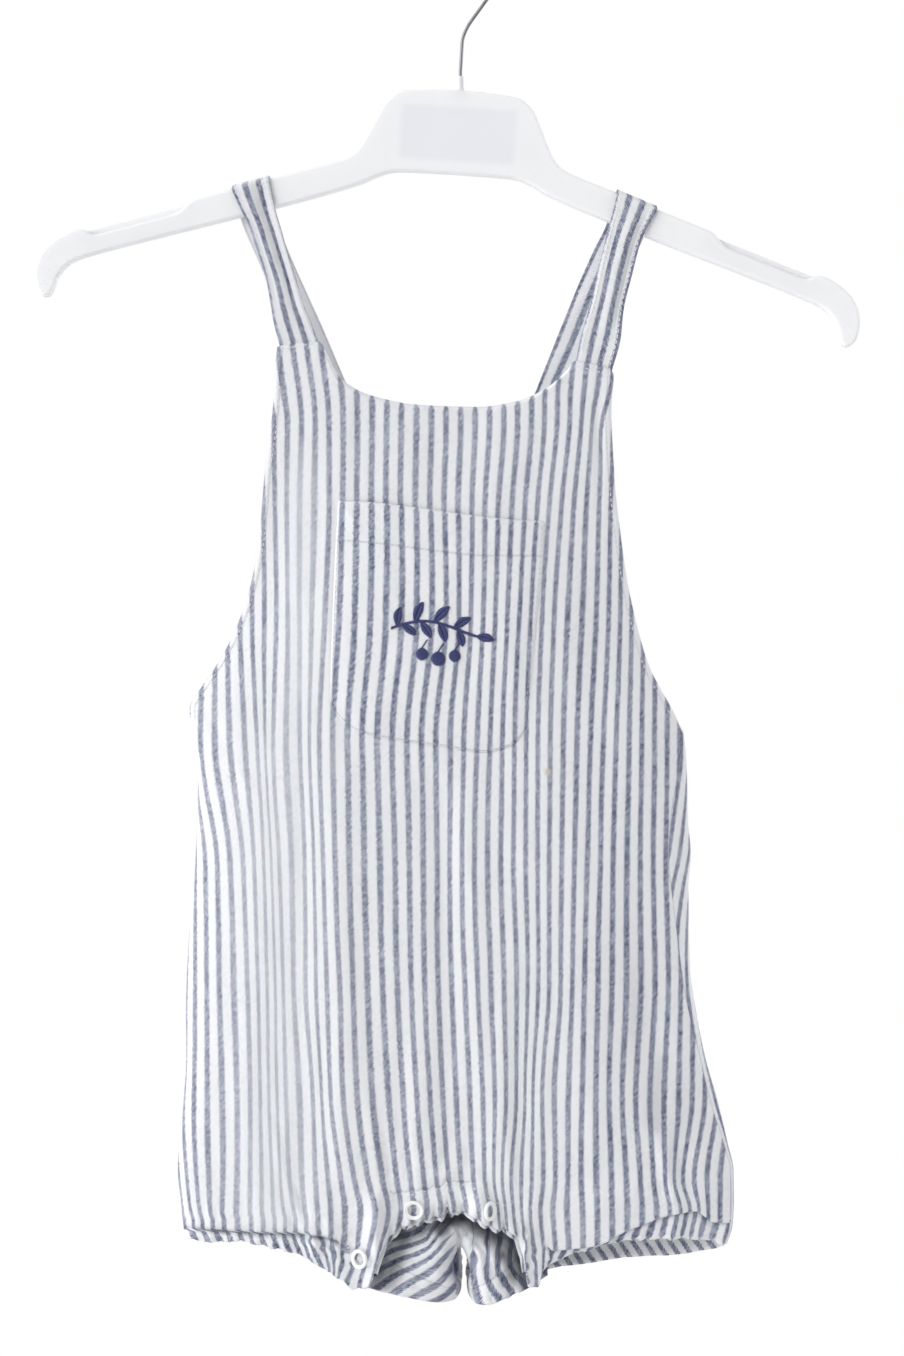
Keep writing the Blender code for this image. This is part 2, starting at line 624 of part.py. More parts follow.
def strap(name, front, top, back, where):
    """One long strap: up from the bib, over the arm, down to the back."""
    half = HANGER_THICK / 2 - HANGER_ROUND
    radius = HANGER_ROUND + STRAP_CLEAR
    over = []
    for angle in (180, 150, 120, 90):
        a = math.radians(angle)
        over.append((-half + radius * math.cos(a), -HANGER_ROUND + radius * math.sin(a)))
    over = over + [(-y, z) for y, z in reversed(over)]
    lines = [((s.x_in, s.y, s.z_in), (s.x_out, s.y, s.z_out)) for s in front]
    for y, rise in over:
        lines.append(tuple((x, y, arm_top(x) + rise) for x in top))
    lines += [((s.x_in, s.y, s.z_in), (s.x_out, s.y, s.z_out)) for s in back]
    bm = bmesh.new()
    across = 4
    columns = []
    for j in range(across + 1):
        u = j / across
        columns.append(
            [vert(bm, Vector(a) + (Vector(b) - Vector(a)) * u) for a, b in lines]
        )
    grid(bm, columns)
    bmesh.ops.recalc_face_normals(bm, faces=bm.faces)
    return thicken(mesh_from(name, bm, where, "cloth"), CLOTH, offset=0.0)


def plate_outline(name, points, thick, where, look):
    """A flat outline in the XZ plane, filled and extruded along Y."""
    curve = bpy.data.curves.new(name, "CURVE")
    curve.dimensions = "2D"
    curve.fill_mode = "BOTH"
    curve.extrude = thick / 2 * MM
    spline = curve.splines.new("POLY")
    spline.points.add(len(points) - 1)
    for p, (x, z) in zip(spline.points, points):
        p.co = (x * MM, z * MM, 0, 1)
    spline.use_cyclic_u = True
    drawn = bpy.data.objects.new(name + "_drawing", curve)
    drawn.rotation_euler = (math.radians(90), 0, 0)
    where.objects.link(drawn)
    bpy.context.view_layer.update()
    graph = bpy.context.evaluated_depsgraph_get()
    data = bpy.data.meshes.new_from_object(drawn.evaluated_get(graph))
    matrix = drawn.matrix_world.copy()
    bpy.data.objects.remove(drawn, do_unlink=True)
    data.transform(matrix)
    bm = bmesh.new()
    bm.from_mesh(data)
    bmesh.ops.remove_doubles(bm, verts=bm.verts, dist=1e-6)
    bmesh.ops.dissolve_limit(
        bm, angle_limit=math.radians(0.5), verts=bm.verts, edges=bm.edges
    )
    bmesh.ops.recalc_face_normals(bm, faces=bm.faces)
    bm.to_mesh(data)
    bm.free()
    data.name = name
    data.materials.clear()
    return add_object(name, data, where, look)


def boolean(obj, cutter, operation):
    cut = obj.modifiers.new(operation.lower() + "_" + cutter.name, "BOOLEAN")
    cut.object = cutter
    cut.operation = operation
    cut.solver = "EXACT"


def hidden(obj):
    obj.hide_render = True
    obj.display_type = "WIRE"
    return obj


def cylinder(name, radius, low, high, where, sides=16, tip=None):
    """A round bar along the hanger's own upward direction at the stem."""
    bm = bmesh.new()
    bmesh.ops.create_cone(
        bm, cap_ends=True, segments=sides, radius1=radius * MM,
        radius2=(radius if tip is None else tip) * MM, depth=(high - low) * MM,
    )
    data = bpy.data.meshes.new(name)
    bm.to_mesh(data)
    bm.free()
    obj = bpy.data.objects.new(name, data)
    middle = (low + high) / 2
    obj.location = (STEM[0] * MM, 0, (STEM[1] + middle) * MM)
    where.objects.link(obj)
    return obj


def hanger(where, cutters):
    right = [tilt(p.x, p.z) for p in HANGER_TOP + HANGER_UNDER]
    left = [tilt(-p.x, p.z) for p in reversed(HANGER_TOP[1:] + HANGER_UNDER[:-1])]
    body = plate_outline("hanger", right + left, HANGER_THICK, where, "plastic")
    soft = body.modifiers.new("round", "BEVEL")
    soft.width = HANGER_ROUND * MM
    soft.segments = 2
    soft.limit_method = "ANGLE"
    soft.angle_limit = math.radians(50)
    for side, name in ((-1, "web_left"), (1, "web_right")):
        (xa, za), (xb, zb) = WEB_SPAN
        drop = 9.0
        corners = [(xa, za), (xb, zb), (xb, zb - drop), (xa, za - drop)]
        web = plate_outline(
            name, [tilt(side * x, z) for x, z in corners], HANGER_WEB, cutters, "plastic"
        )
        boolean(body, hidden(web), "UNION")
    sleeve = hidden(cylinder("sleeve", SLEEVE_R, -4.0, SLEEVE_RISE, cutters, tip=SLEEVE_R * 0.93))
    boolean(body, sleeve, "UNION")
    bore = hidden(cylinder("bore", BORE_R, -BORE_DEPTH, SLEEVE_RISE + 3.0, cutters, sides=12))
    boolean(body, bore, "DIFFERENCE")
    bm = bmesh.new()
    bmesh.ops.create_cube(bm, size=1.0)
    data = bpy.data.meshes.new("plate_recess")
    bm.to_mesh(data)
    bm.free()
    data.transform(Matrix.Diagonal((PLATE_W * MM, 2 * PLATE_DEEP * MM, PLATE_H * MM, 1)))
    recess = bpy.data.objects.new("plate_recess", data)
    x, z = tilt(0.0, -PLATE_DROP)
    recess.location = (x * MM, -HANGER_THICK / 2 * MM, z * MM)
    recess.rotation_euler = (0, math.radians(HANGER_TILT), 0)
    cutters.objects.link(recess)
    boolean(body, hidden(recess), "DIFFERENCE")
    return body


def hook(where):
    """Wire from inside the hanger's bore, bent over and round to its open end."""
    lean = math.radians(HOOK_LEAN)
    centre = Vector((0.0, 0.0, -HOOK_R + WIRE_R))
    touch = centre + HOOK_R * Vector((math.cos(lean), 0, -math.sin(lean)))
    along = Vector((math.sin(lean), 0, math.cos(lean)))
    # The straight run meets the upright where x has come back to the stem's.
    bend_x = -2.7
    bend = touch - along * ((touch.x - bend_x) / along.x)
    foot = Vector((STEM[0], 0, STEM[1] - BORE_DEPTH + 1.0))
    upright = Vector((STEM[0], 0, STEM[1] + SLEEVE_RISE + 2.0))
    points = [foot, foot.lerp(upright, 0.5), upright]
    lower, upper = upright.lerp(bend, 0.72), bend.lerp(touch, 0.22)
    points.append(upright.lerp(lower, 0.5))
    for k in range(7):
        s = k / 6
        points.append((1 - s) ** 2 * lower + 2 * s * (1 - s) * bend + s * s * upper)
    points.append(upper.lerp(touch, 0.5))
    turns = 30
    for k in range(turns + 1):
        a = -lean + math.radians(HOOK_OPEN_TO + HOOK_LEAN) * k / turns
        points.append(centre + HOOK_R * Vector((math.cos(a), 0, math.sin(a))))
    curve = bpy.data.curves.new("hanger_hook", "CURVE")
    curve.dimensions = "3D"
    curve.bevel_depth = WIRE_R * MM
    curve.bevel_resolution = 2
    curve.use_fill_caps = True
    spline = curve.splines.new("POLY")
    spline.points.add(len(points) - 1)
    for p, co in zip(spline.points, points):
        p.co = (*(co * MM), 1)
    return add_object("hanger_hook", curve, where, "steel")


def snap_ring(ring, where):
    """An open ring: a flat profile with soft corners, turned about its axis."""
    wall = SNAP_R - SNAP_HOLE_R
    profile = [
        (SNAP_R - wall * 0.28, SNAP_THICK), (SNAP_R, SNAP_THICK * 0.45), (SNAP_R * 0.99, 0.0),
        (SNAP_HOLE_R * 1.01, 0.0), (SNAP_HOLE_R, SNAP_THICK * 0.45),
        (SNAP_HOLE_R + wall * 0.28, SNAP_THICK),
    ]
    bm = bmesh.new()
    sides = 24
    rings = []
    for k in range(sides):
        a = 2 * math.pi * k / sides
        rings.append([vert(bm, (r * math.cos(a), -h, r * math.sin(a))) for r, h in profile])
    for k in range(sides):
        a, b = rings[k], rings[(k + 1) % sides]
        for i in range(len(profile)):
            j = (i + 1) % len(profile)
            bm.faces.new((a[i], a[j], b[j], b[i]))
    bmesh.ops.recalc_face_normals(bm, faces=bm.faces)
    obj = mesh_from(ring.name, bm, where, "snap")
    obj.location = Vector((ring.x, front_y(ring.x, ring.z) - ring.off, ring.z)) * MM
    obj.rotation_euler = (math.radians(ring.tilt), 0, math.radians(ring.turn))
    return obj


def main():
    clear_scene()
    where = collection("striped_dungarees")
    cutters = collection("cutters")
    front_panel(where)
    back_panel(where)
    snap_facing(where)
    pocket(where)
    strap("strap_left", STRAP_LEFT_FRONT, STRAP_LEFT_TOP, STRAP_LEFT_BACK, where)
    strap("strap_right", STRAP_RIGHT_FRONT, STRAP_RIGHT_TOP, STRAP_RIGHT_BACK, where)
    for ring in RINGS:
        snap_ring(ring, where)
    hanger(where, cutters)
    hook(where)


main()
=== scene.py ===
"""Looks of the baby's striped dungarees on their hanger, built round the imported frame.

Sizes here are in millimetres, as in the construction, and become metres when a
mesh is made. Each cloth piece is a grid of points on the garment's own surface,
with its creases, gathers and rolled edges, thickened inwards. Every point also
carries the cloth's grain: u counts stripes, v runs down the warp in stripe
widths, so the weave follows the drape.
"""

import math
from collections import namedtuple

import bmesh
import bpy
import numpy as np
from mathutils import Matrix, Vector
from mathutils.geometry import delaunay_2d_cdt


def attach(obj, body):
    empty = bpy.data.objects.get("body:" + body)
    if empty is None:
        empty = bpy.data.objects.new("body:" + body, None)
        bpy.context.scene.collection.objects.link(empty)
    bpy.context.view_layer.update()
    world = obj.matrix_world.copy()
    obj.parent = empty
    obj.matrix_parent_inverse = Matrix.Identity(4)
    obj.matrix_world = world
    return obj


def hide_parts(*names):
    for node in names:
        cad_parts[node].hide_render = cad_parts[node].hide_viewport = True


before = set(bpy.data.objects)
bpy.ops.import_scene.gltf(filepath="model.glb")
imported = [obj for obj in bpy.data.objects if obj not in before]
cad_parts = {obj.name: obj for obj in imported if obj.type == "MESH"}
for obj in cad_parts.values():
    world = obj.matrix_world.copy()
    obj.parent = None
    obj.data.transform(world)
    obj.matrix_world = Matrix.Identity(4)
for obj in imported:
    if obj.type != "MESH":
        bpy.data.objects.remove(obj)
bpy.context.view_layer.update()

MM = 0.001
PITCH = 6.4            # one stripe to the next, measured flat
CLOTH = 0.9            # wall of the modelled cloth

# ---------------------------------------------------------------- camera
EYE = (-7.4, -1404.0, -339.9)
PLANE = 1395.0         # distance of the plane on which the drape table is given

# ---------------------------------------------------------------- the garment's tables
Outline = namedtuple("Outline", "z left right")
OUTLINE = (
    Outline(-193, -83.6, 62.6), Outline(-207, -84.8, 63.3), Outline(-222, -85.7, 62.3),
    Outline(-250, -89.2, 63.5), Outline(-280, -92.0, 66.7), Outline(-300, -95.7, 69.8),
    Outline(-320, -102.8, 74.4), Outline(-335, -111.0, 79.1), Outline(-345, -117.9, 84.2),
    Outline(-353, -122.4, 88.8), Outline(-364, -121.2, 94.2), Outline(-376, -118.6, 95.4),
    Outline(-404, -119.0, 96.3), Outline(-418, -119.8, 97.4), Outline(-431, -120.7, 96.3),
    Outline(-466, -123.4, 97.0), Outline(-485, -124.1, 99.5), Outline(-506, -123.8, 103.6),
    Outline(-525, -125.1, 109.2), Outline(-544, -127.1, 113.6), Outline(-556, -127.8, 116.1),
    Outline(-570, -126.5, 116.2), Outline(-580, -125.6, 115.6), Outline(-590, -124.8, 112.6), Outline(-616, -123.0, 110.0),
)
Seam = namedtuple("Seam", "z x")
RIGHT_SEAM = (
    Seam(-364, 92.7), Seam(-376, 91.9), Seam(-389, 89.6), Seam(-404, 87.7),
    Seam(-418, 87.0), Seam(-431, 88.1), Seam(-452, 90.8), Seam(-475, 93.8),
    Seam(-485, 95.8), Seam(-506, 101.0), Seam(-525, 105.4), Seam(-544, 111.6),
    Seam(-556, 114.4), Seam(-570, 114.5), Seam(-580, 113.9), Seam(-590, 111.2), Seam(-616, 108.3),
)
Depth = namedtuple("Depth", "z front back edge power")
DEPTHS = (
    Depth(-193, 7.4, 6.6, 6.5, 1.0), Depth(-240, 9.6, 7.6, 6.0, 1.0),
    Depth(-300, 14.0, 9.8, 4.4, 1.0), Depth(-340, 17.4, 12.4, 2.2, 0.8),
    Depth(-364, 18.6, 13.6, 0.9, 0.56), Depth(-390, 19.4, 14.4, 0.0, 0.5),
    Depth(-450, 21.0, 16.0, 0.0, 0.5), Depth(-520, 20.0, 16.0, 0.0, 0.5),
    Depth(-560, 17.0, 14.0, 0.0, 0.5), Depth(-590, 14.5, 11.5, 0.0, 0.5),
    Depth(-616, 12.5, 10.5, 0.0, 0.5),
)
Fold = namedtuple("Fold", "side x_top z_top x_low z_low width rise")
# The largest folds are the construction's own; the rest are finer creases.
FOLDS = (
    Fold("front", -13.0, -380, -6.5, -559, 7.0, -1.5),
    Fold("front", -1.5, -384, 9.0, -526, 6.0, 0.5),
    Fold("front", -58.4, -372, -51.9, -556, 9.0, 1.5),
    Fold("front", -98.0, -390, -96.0, -566, 9.0, 0.9),
    Fold("front", 74.0, -412, 80.0, -545, 9.0, -1.9),
    Fold("front", 43.0, -380, 52.0, -545, 9.0, 0.9),
    Fold("front", 33.0, -226, 30.0, -262, 7.0, -0.8),
    Fold("back", -38.0, -300, -44.0, -400, 6.0, -1.2),
    Fold("back", -12.0, -300, -10.0, -430, 7.0, 1.0),
    Fold("back", 20.0, -300, 24.0, -390, 6.0, -1.1),
    Fold("back", -70.0, -380, -80.0, -560, 10.0, 1.2),
    Fold("back", 8.0, -440, 4.0, -560, 9.0, -1.6),
    Fold("back", 60.0, -400, 72.0, -550, 10.0, 1.3),
)
CREASES = (
    Fold("front", -115.0, -352, -104.0, -378, 3.2, -0.9),
    Fold("front", -111.0, -366, -92.0, -392, 3.6, 0.6),
    Fold("front", -74.0, -300, -71.0, -560, 3.4, -0.35),
    Fold("front", -62.0, -250, -60.5, -372, 2.6, 0.45),
    Fold("front", -85.5, -535, -72.0, -577, 2.4, 0.9),
    Fold("front", -81.0, -548, -69.0, -577, 1.8, -0.8),
    Fold("front", -31.0, -420, -27.0, -560, 4.0, -0.6),
    Fold("front", 1.5, -500, 0.0, -562, 4.0, -0.8),
    Fold("front", 15.0, -470, 13.0, -566, 3.6, 0.8),
    Fold("front", 23.0, -500, 21.5, -575, 2.8, -0.7),
    Fold("front", 32.0, -510, 29.0, -580, 3.0, 0.6),
    Fold("front", 64.0, -330, 66.0, -400, 3.4, 0.5),
    Fold("front", 70.5, -275, 72.5, -345, 2.6, -0.5),
    Fold("front", 62.5, -262, 64.0, -300, 2.0, -0.45),
    Fold("front", 85.0, -538, 89.0, -572, 3.4, 1.5),
    Fold("front", 91.5, -545, 94.5, -574, 3.0, -1.2),
    Fold("front", 100.0, -540, 101.5, -574, 2.8, 0.6),
    Fold("front", 84.0, -470, 84.5, -530, 3.4, -0.8),
    Fold("front", -50.0, -232, -48.0, -262, 3.6, -0.35),
    Fold("front", -20.0, -228, -24.0, -258, 4.0, 0.35),
    Fold("front", 13.0, -226, 9.0, -258, 3.4, 0.30),
    Fold("front", -44.5, -520, -36.0, -574, 2.8, 0.9),
    Fold("front", -37.5, -536, -29.5, -574, 2.2, -0.7),
    Fold("front", -26.0, -528, -19.5, -570, 2.4, 0.6),
    Fold("back", -60.0, -300, -66.0, -350, 3.4, 0.7),
    Fold("back", -26.0, -298, -27.0, -352, 2.8, 0.8),
    Fold("back", 6.0, -298, 4.0, -356, 3.0, 0.7),
    Fold("back", 32.0, -300, 38.0, -360, 3.0, -0.7),
    Fold("back", 48.0, -312, 52.0, -380, 3.6, 0.8),
    Fold("back", -100.0, -352, -88.0, -384, 3.4, -0.8),
    Fold("back", 78.0, -360, 70.0, -392, 3.4, -0.8),
    Fold("back", -24.0, -520, -12.0, -582, 3.0, 0.9),
    Fold("back", 20.0, -520, 8.0, -582, 3.0, 0.9),
    Fold("back", -46.0, -500, -40.0, -580, 3.6, -0.7),
    Fold("back", 36.0, -505, 30.0, -580, 3.4, -0.7),
)
BAG_Z, BAG_X, BAG_RISE = -566.0, (34.0, 60.0, 104.0), 2.4

Edge = namedtuple("Edge", "t x z")
NECK = (
    Edge(0.000, -84.4, -195.4), Edge(0.020, -81.5, -194.4), Edge(0.125, -66.0, -193.2),
    Edge(0.150, -63.0, -198.0), Edge(0.175, -59.4, -205.0), Edge(0.210, -54.2, -210.8),
    Edge(0.280, -43.8, -216.2), Edge(0.420, -23.0, -220.6), Edge(0.520, -8.3, -221.4),
    Edge(0.610, 4.8, -221.6), Edge(0.720, 21.4, -219.2), Edge(0.805, 34.0, -213.1),
    Edge(0.860, 42.0, -205.6), Edge(0.885, 46.4, -201.5), Edge(0.950, 56.0, -203.2),
    Edge(0.990, 62.0, -205.0), Edge(1.000, 63.2, -207.6),
)
FRONT_HEM = (
    Edge(0.000, -124.6, -585.0), Edge(0.045, -113.0, -586.0), Edge(0.105, -100.0, -585.4),
    Edge(0.165, -85.5, -588.0), Edge(0.220, -72.4, -591.5), Edge(0.265, -62.3, -597.4),
    Edge(0.300, -54.6, -602.4), Edge(0.325, -49.7, -605.6), Edge(0.345, -43.8, -605.0),
    Edge(0.370, -40.2, -595.0), Edge(0.400, -36.0, -585.6), Edge(0.430, -27.8, -578.6),
    Edge(0.455, -20.5, -575.8), Edge(0.485, -11.8, -574.3), Edge(0.515, -1.9, -572.6),
    Edge(0.540, 5.4, -576.4), Edge(0.565, 12.0, -580.6), Edge(0.590, 18.6, -583.2),
    Edge(0.610, 22.4, -589.0), Edge(0.630, 24.4, -597.5), Edge(0.650, 25.7, -605.0),
    Edge(0.665, 29.5, -605.2), Edge(0.680, 32.2, -598.6), Edge(0.700, 37.0, -595.0),
    Edge(0.745, 48.0, -590.6), Edge(0.800, 60.6, -586.9), Edge(0.860, 76.7, -584.8),
    Edge(0.910, 92.4, -585.0), Edge(0.960, 105.2, -586.2), Edge(1.000, 111.4, -588.4),
)
ARCH_T = (0.650, 0.345)
BACK_TOP = (
    Edge(0.000, -122.0, -353.0), Edge(0.020, -113.5, -343.0), Edge(0.050, -99.8, -330.5),
    Edge(0.130, -78.0, -312.5), Edge(0.225, -58.6, -299.6), Edge(0.255, -53.0, -296.6),
    Edge(0.510, -10.5, -294.2), Edge(0.770, 32.0, -296.2), Edge(0.805, 37.5, -299.6),
    Edge(0.905, 57.1, -313.0), Edge(0.965, 74.0, -331.0), Edge(0.990, 84.0, -348.0),
    Edge(1.000, 93.6, -363.4),
)
BACK_HEM = (
    Edge(0.000, -124.6, -584.5), Edge(0.100, -100.5, -583.5), Edge(0.170, -84.0, -585.5),
    Edge(0.250, -64.0, -593.0), Edge(0.320, -48.0, -601.5), Edge(0.380, -32.0, -606.4),
    Edge(0.430, -18.0, -610.4), Edge(0.455, -9.0, -612.6), Edge(0.465, -4.8, -611.0),
    Edge(0.480, -3.2, -606.3), Edge(0.495, -6.4, -600.4), Edge(0.507, -6.8, -596.2),
    Edge(0.525, -3.3, -589.4), Edge(0.540, -0.6, -595.4), Edge(0.552, 0.2, -599.6),
    Edge(0.565, -1.0, -604.8), Edge(0.575, -0.6, -608.6), Edge(0.585, 1.8, -612.8),
    Edge(0.600, 6.5, -613.2), Edge(0.630, 15.0, -610.8), Edge(0.660, 26.0, -605.0),
    Edge(0.690, 38.0, -600.3), Edge(0.740, 52.8, -598.3), Edge(0.785, 63.7, -596.4),
    Edge(0.840, 77.2, -594.9), Edge(0.910, 94.6, -593.6), Edge(0.950, 103.3, -591.6),
    Edge(0.985, 109.6, -590.2), Edge(1.000, 112.8, -587.6),
)
CLEFT_T = (0.585, 0.465)
CLEFT_Y = 1.0
UNDERLAP = 10.0
EDGE_Y = 0.62
PROFILE_P = 2.6

Side = namedtuple("Side", "v left right")
POCKET_SIDES = (
    Side(0.00, -57.0, 33.2), Side(0.20, -58.3, 32.4), Side(0.50, -59.6, 29.2),
    Side(0.70, -60.2, 27.0), Side(0.85, -60.0, 25.2), Side(1.00, -59.6, 24.2),
)
POCKET_TOP = (-262.9, -271.6)
POCKET_BOTTOM = (
    Edge(0.00, 0, -351.0), Edge(0.06, 0, -358.5), Edge(0.15, 0, -363.6),
    Edge(0.32, 0, -366.9), Edge(0.55, 0, -369.6), Edge(0.79, 0, -372.3),
    Edge(0.93, 0, -369.4), Edge(0.98, 0, -364.5), Edge(1.00, 0, -358.0),
)
Station = namedtuple("Station", "x_in z_in x_out z_out y")
STRAP_LEFT_FRONT = (
    Station(-65.0, -197.0, -82.2, -197.6, -4.6), Station(-66.2, -193.0, -82.8, -193.6, -5.1),
    Station(-69.2, -184.5, -85.0, -185.0, -5.9),
    Station(-72.6, -176.0, -86.5, -176.4, -5.8), Station(-75.5, -166.0, -88.4, -166.0, -5.7),
    Station(-78.4, -156.4, -91.2, -156.2, -5.5), Station(-81.6, -145.6, -94.8, -145.4, -5.3),
    Station(-84.2, -137.0, -98.2, -138.0, -5.1),
)
STRAP_LEFT_TOP = (-87.2, -103.4)
STRAP_LEFT_BACK = (
    Station(-84.6, -138.0, -99.4, -140.4, 5.1), Station(-78.6, -154.0, -92.8, -156.0, 5.4),
    Station(-66.1, -182.0, -80.8, -184.0, 6.0), Station(-53.8, -210.5, -69.6, -212.5, 6.5),
    Station(-38.0, -246.5, -54.6, -248.0, 7.4), Station(-25.6, -275.0, -42.6, -276.0, 8.4),
    Station(-17.6, -293.4, -35.2, -293.6, 9.0),
)
STRAP_RIGHT_FRONT = (
    Station(46.6, -204.6, 61.8, -208.4, -4.6), Station(47.2, -200.6, 62.8, -204.2, -5.1),
    Station(49.2, -190.0, 66.0, -192.4, -5.9),
    Station(53.4, -176.4, 67.9, -177.0, -5.8), Station(56.6, -162.0, 71.6, -162.6, -5.6),
    Station(59.6, -149.4, 74.8, -150.6, -5.3), Station(62.0, -140.0, 77.6, -143.6, -5.1),
)
STRAP_RIGHT_TOP = (64.7, 82.0)
STRAP_RIGHT_BACK = (
    Station(60.2, -141.6, 76.6, -146.6, 5.1), Station(54.0, -154.0, 71.2, -158.0, 5.4),
    Station(43.4, -179.0, 61.4, -181.0, 6.0), Station(29.4, -214.0, 47.6, -215.5, 6.5),
    Station(15.0, -249.0, 33.4, -250.0, 7.4), Station(4.4, -275.0, 22.4, -275.6, 8.4),
    Station(-3.2, -293.5, 14.6, -293.6, 9.0),
)
Ring = namedtuple("Ring", "name x z turn tilt off")
RINGS = (
    Ring("snap_ring_1", -47.3, -591.7, -38.0, 0.0, 2.6),
    Ring("snap_ring_2", -23.8, -570.4, -10.0, 8.0, 0.9),
    Ring("snap_ring_3", 8.7, -570.4, 56.0, 0.0, 3.9),
)
SNAP_R, SNAP_HOLE_R, SNAP_THICK = 4.3, 2.65, 1.3

HANGER_TILT, HANGER_THICK = 3.6, 8.0
HANGER_ROUND, HANGER_WEB, STRAP_CLEAR = 1.2, 1.6, 0.95
STEM = (-3.7, -82.7)
SLEEVE_R, SLEEVE_RISE, BORE_R, BORE_DEPTH = 1.45, 6.6, 1.06, 16.0
PLATE_W, PLATE_H, PLATE_DEEP, PLATE_DROP = 52.3, 25.6, 0.4, 19.4
WIRE_R, HOOK_R, HOOK_LEAN, HOOK_OPEN_TO = 0.75, 20.0, 36.0, 205.0
Half = namedtuple("Half", "x z")
HANGER_TOP = (
    Half(0.0, 0.0), Half(25.0, -1.6), Half(28.6, -3.3), Half(31.0, -5.4), Half(33.4, -8.4),
    Half(37.5, -17.0), Half(41.4, -25.2), Half(43.8, -28.9), Half(47.0, -31.8),
    Half(53.0, -34.4), Half(71.0, -40.4), Half(90.0, -46.9), Half(110.0, -53.6),
    Half(114.4, -55.4), Half(117.2, -58.2), Half(120.4, -61.2), Half(125.0, -63.0),
    Half(152.0, -72.0), Half(156.4, -72.9), Half(160.6, -71.2), Half(166.0, -72.1),
    Half(172.6, -75.9), Half(177.2, -80.2), Half(180.0, -85.4), Half(181.0, -91.0),
    Half(180.2, -96.6), Half(178.6, -99.8),
)
HANGER_UNDER = (
    Half(175.9, -101.3), Half(173.4, -100.0), Half(172.0, -96.6), Half(170.4, -91.6),
    Half(166.4, -86.6), Half(160.0, -83.0), Half(133.0, -73.9), Half(90.0, -60.2),
    Half(60.0, -50.2), Half(41.5, -43.4), Half(34.0, -39.6), Half(29.0, -37.6),
    Half(24.0, -36.8), Half(0.0, -36.4),
)
WEB_SPAN = ((112.0, -55.8), (160.5, -71.9))

# Where the right leg's cloth bags over its casing, and the left casing's seam.
Line = namedtuple("Line", "x z")
BLOUSE = (
    Line(28.0, -590.0), Line(43.2, -588.3), Line(51.0, -587.6), Line(58.0, -585.9),
    Line(63.7, -582.4), Line(70.2, -579.3), Line(75.4, -577.4), Line(82.8, -574.5),
    Line(90.7, -572.8), Line(97.7, -572.3), Line(101.6, -575.0), Line(104.6, -577.6),
    Line(111.6, -578.0), Line(115.1, -575.4),
)
LEFT_CASING = (
    Line(-126.0, -580.0), Line(-110.0, -581.2), Line(-86.0, -582.0), Line(-72.4, -582.2),
    Line(-66.0, -582.8), Line(-60.0, -584.0), Line(-54.0, -586.6), Line(-44.0, -590.0),
)

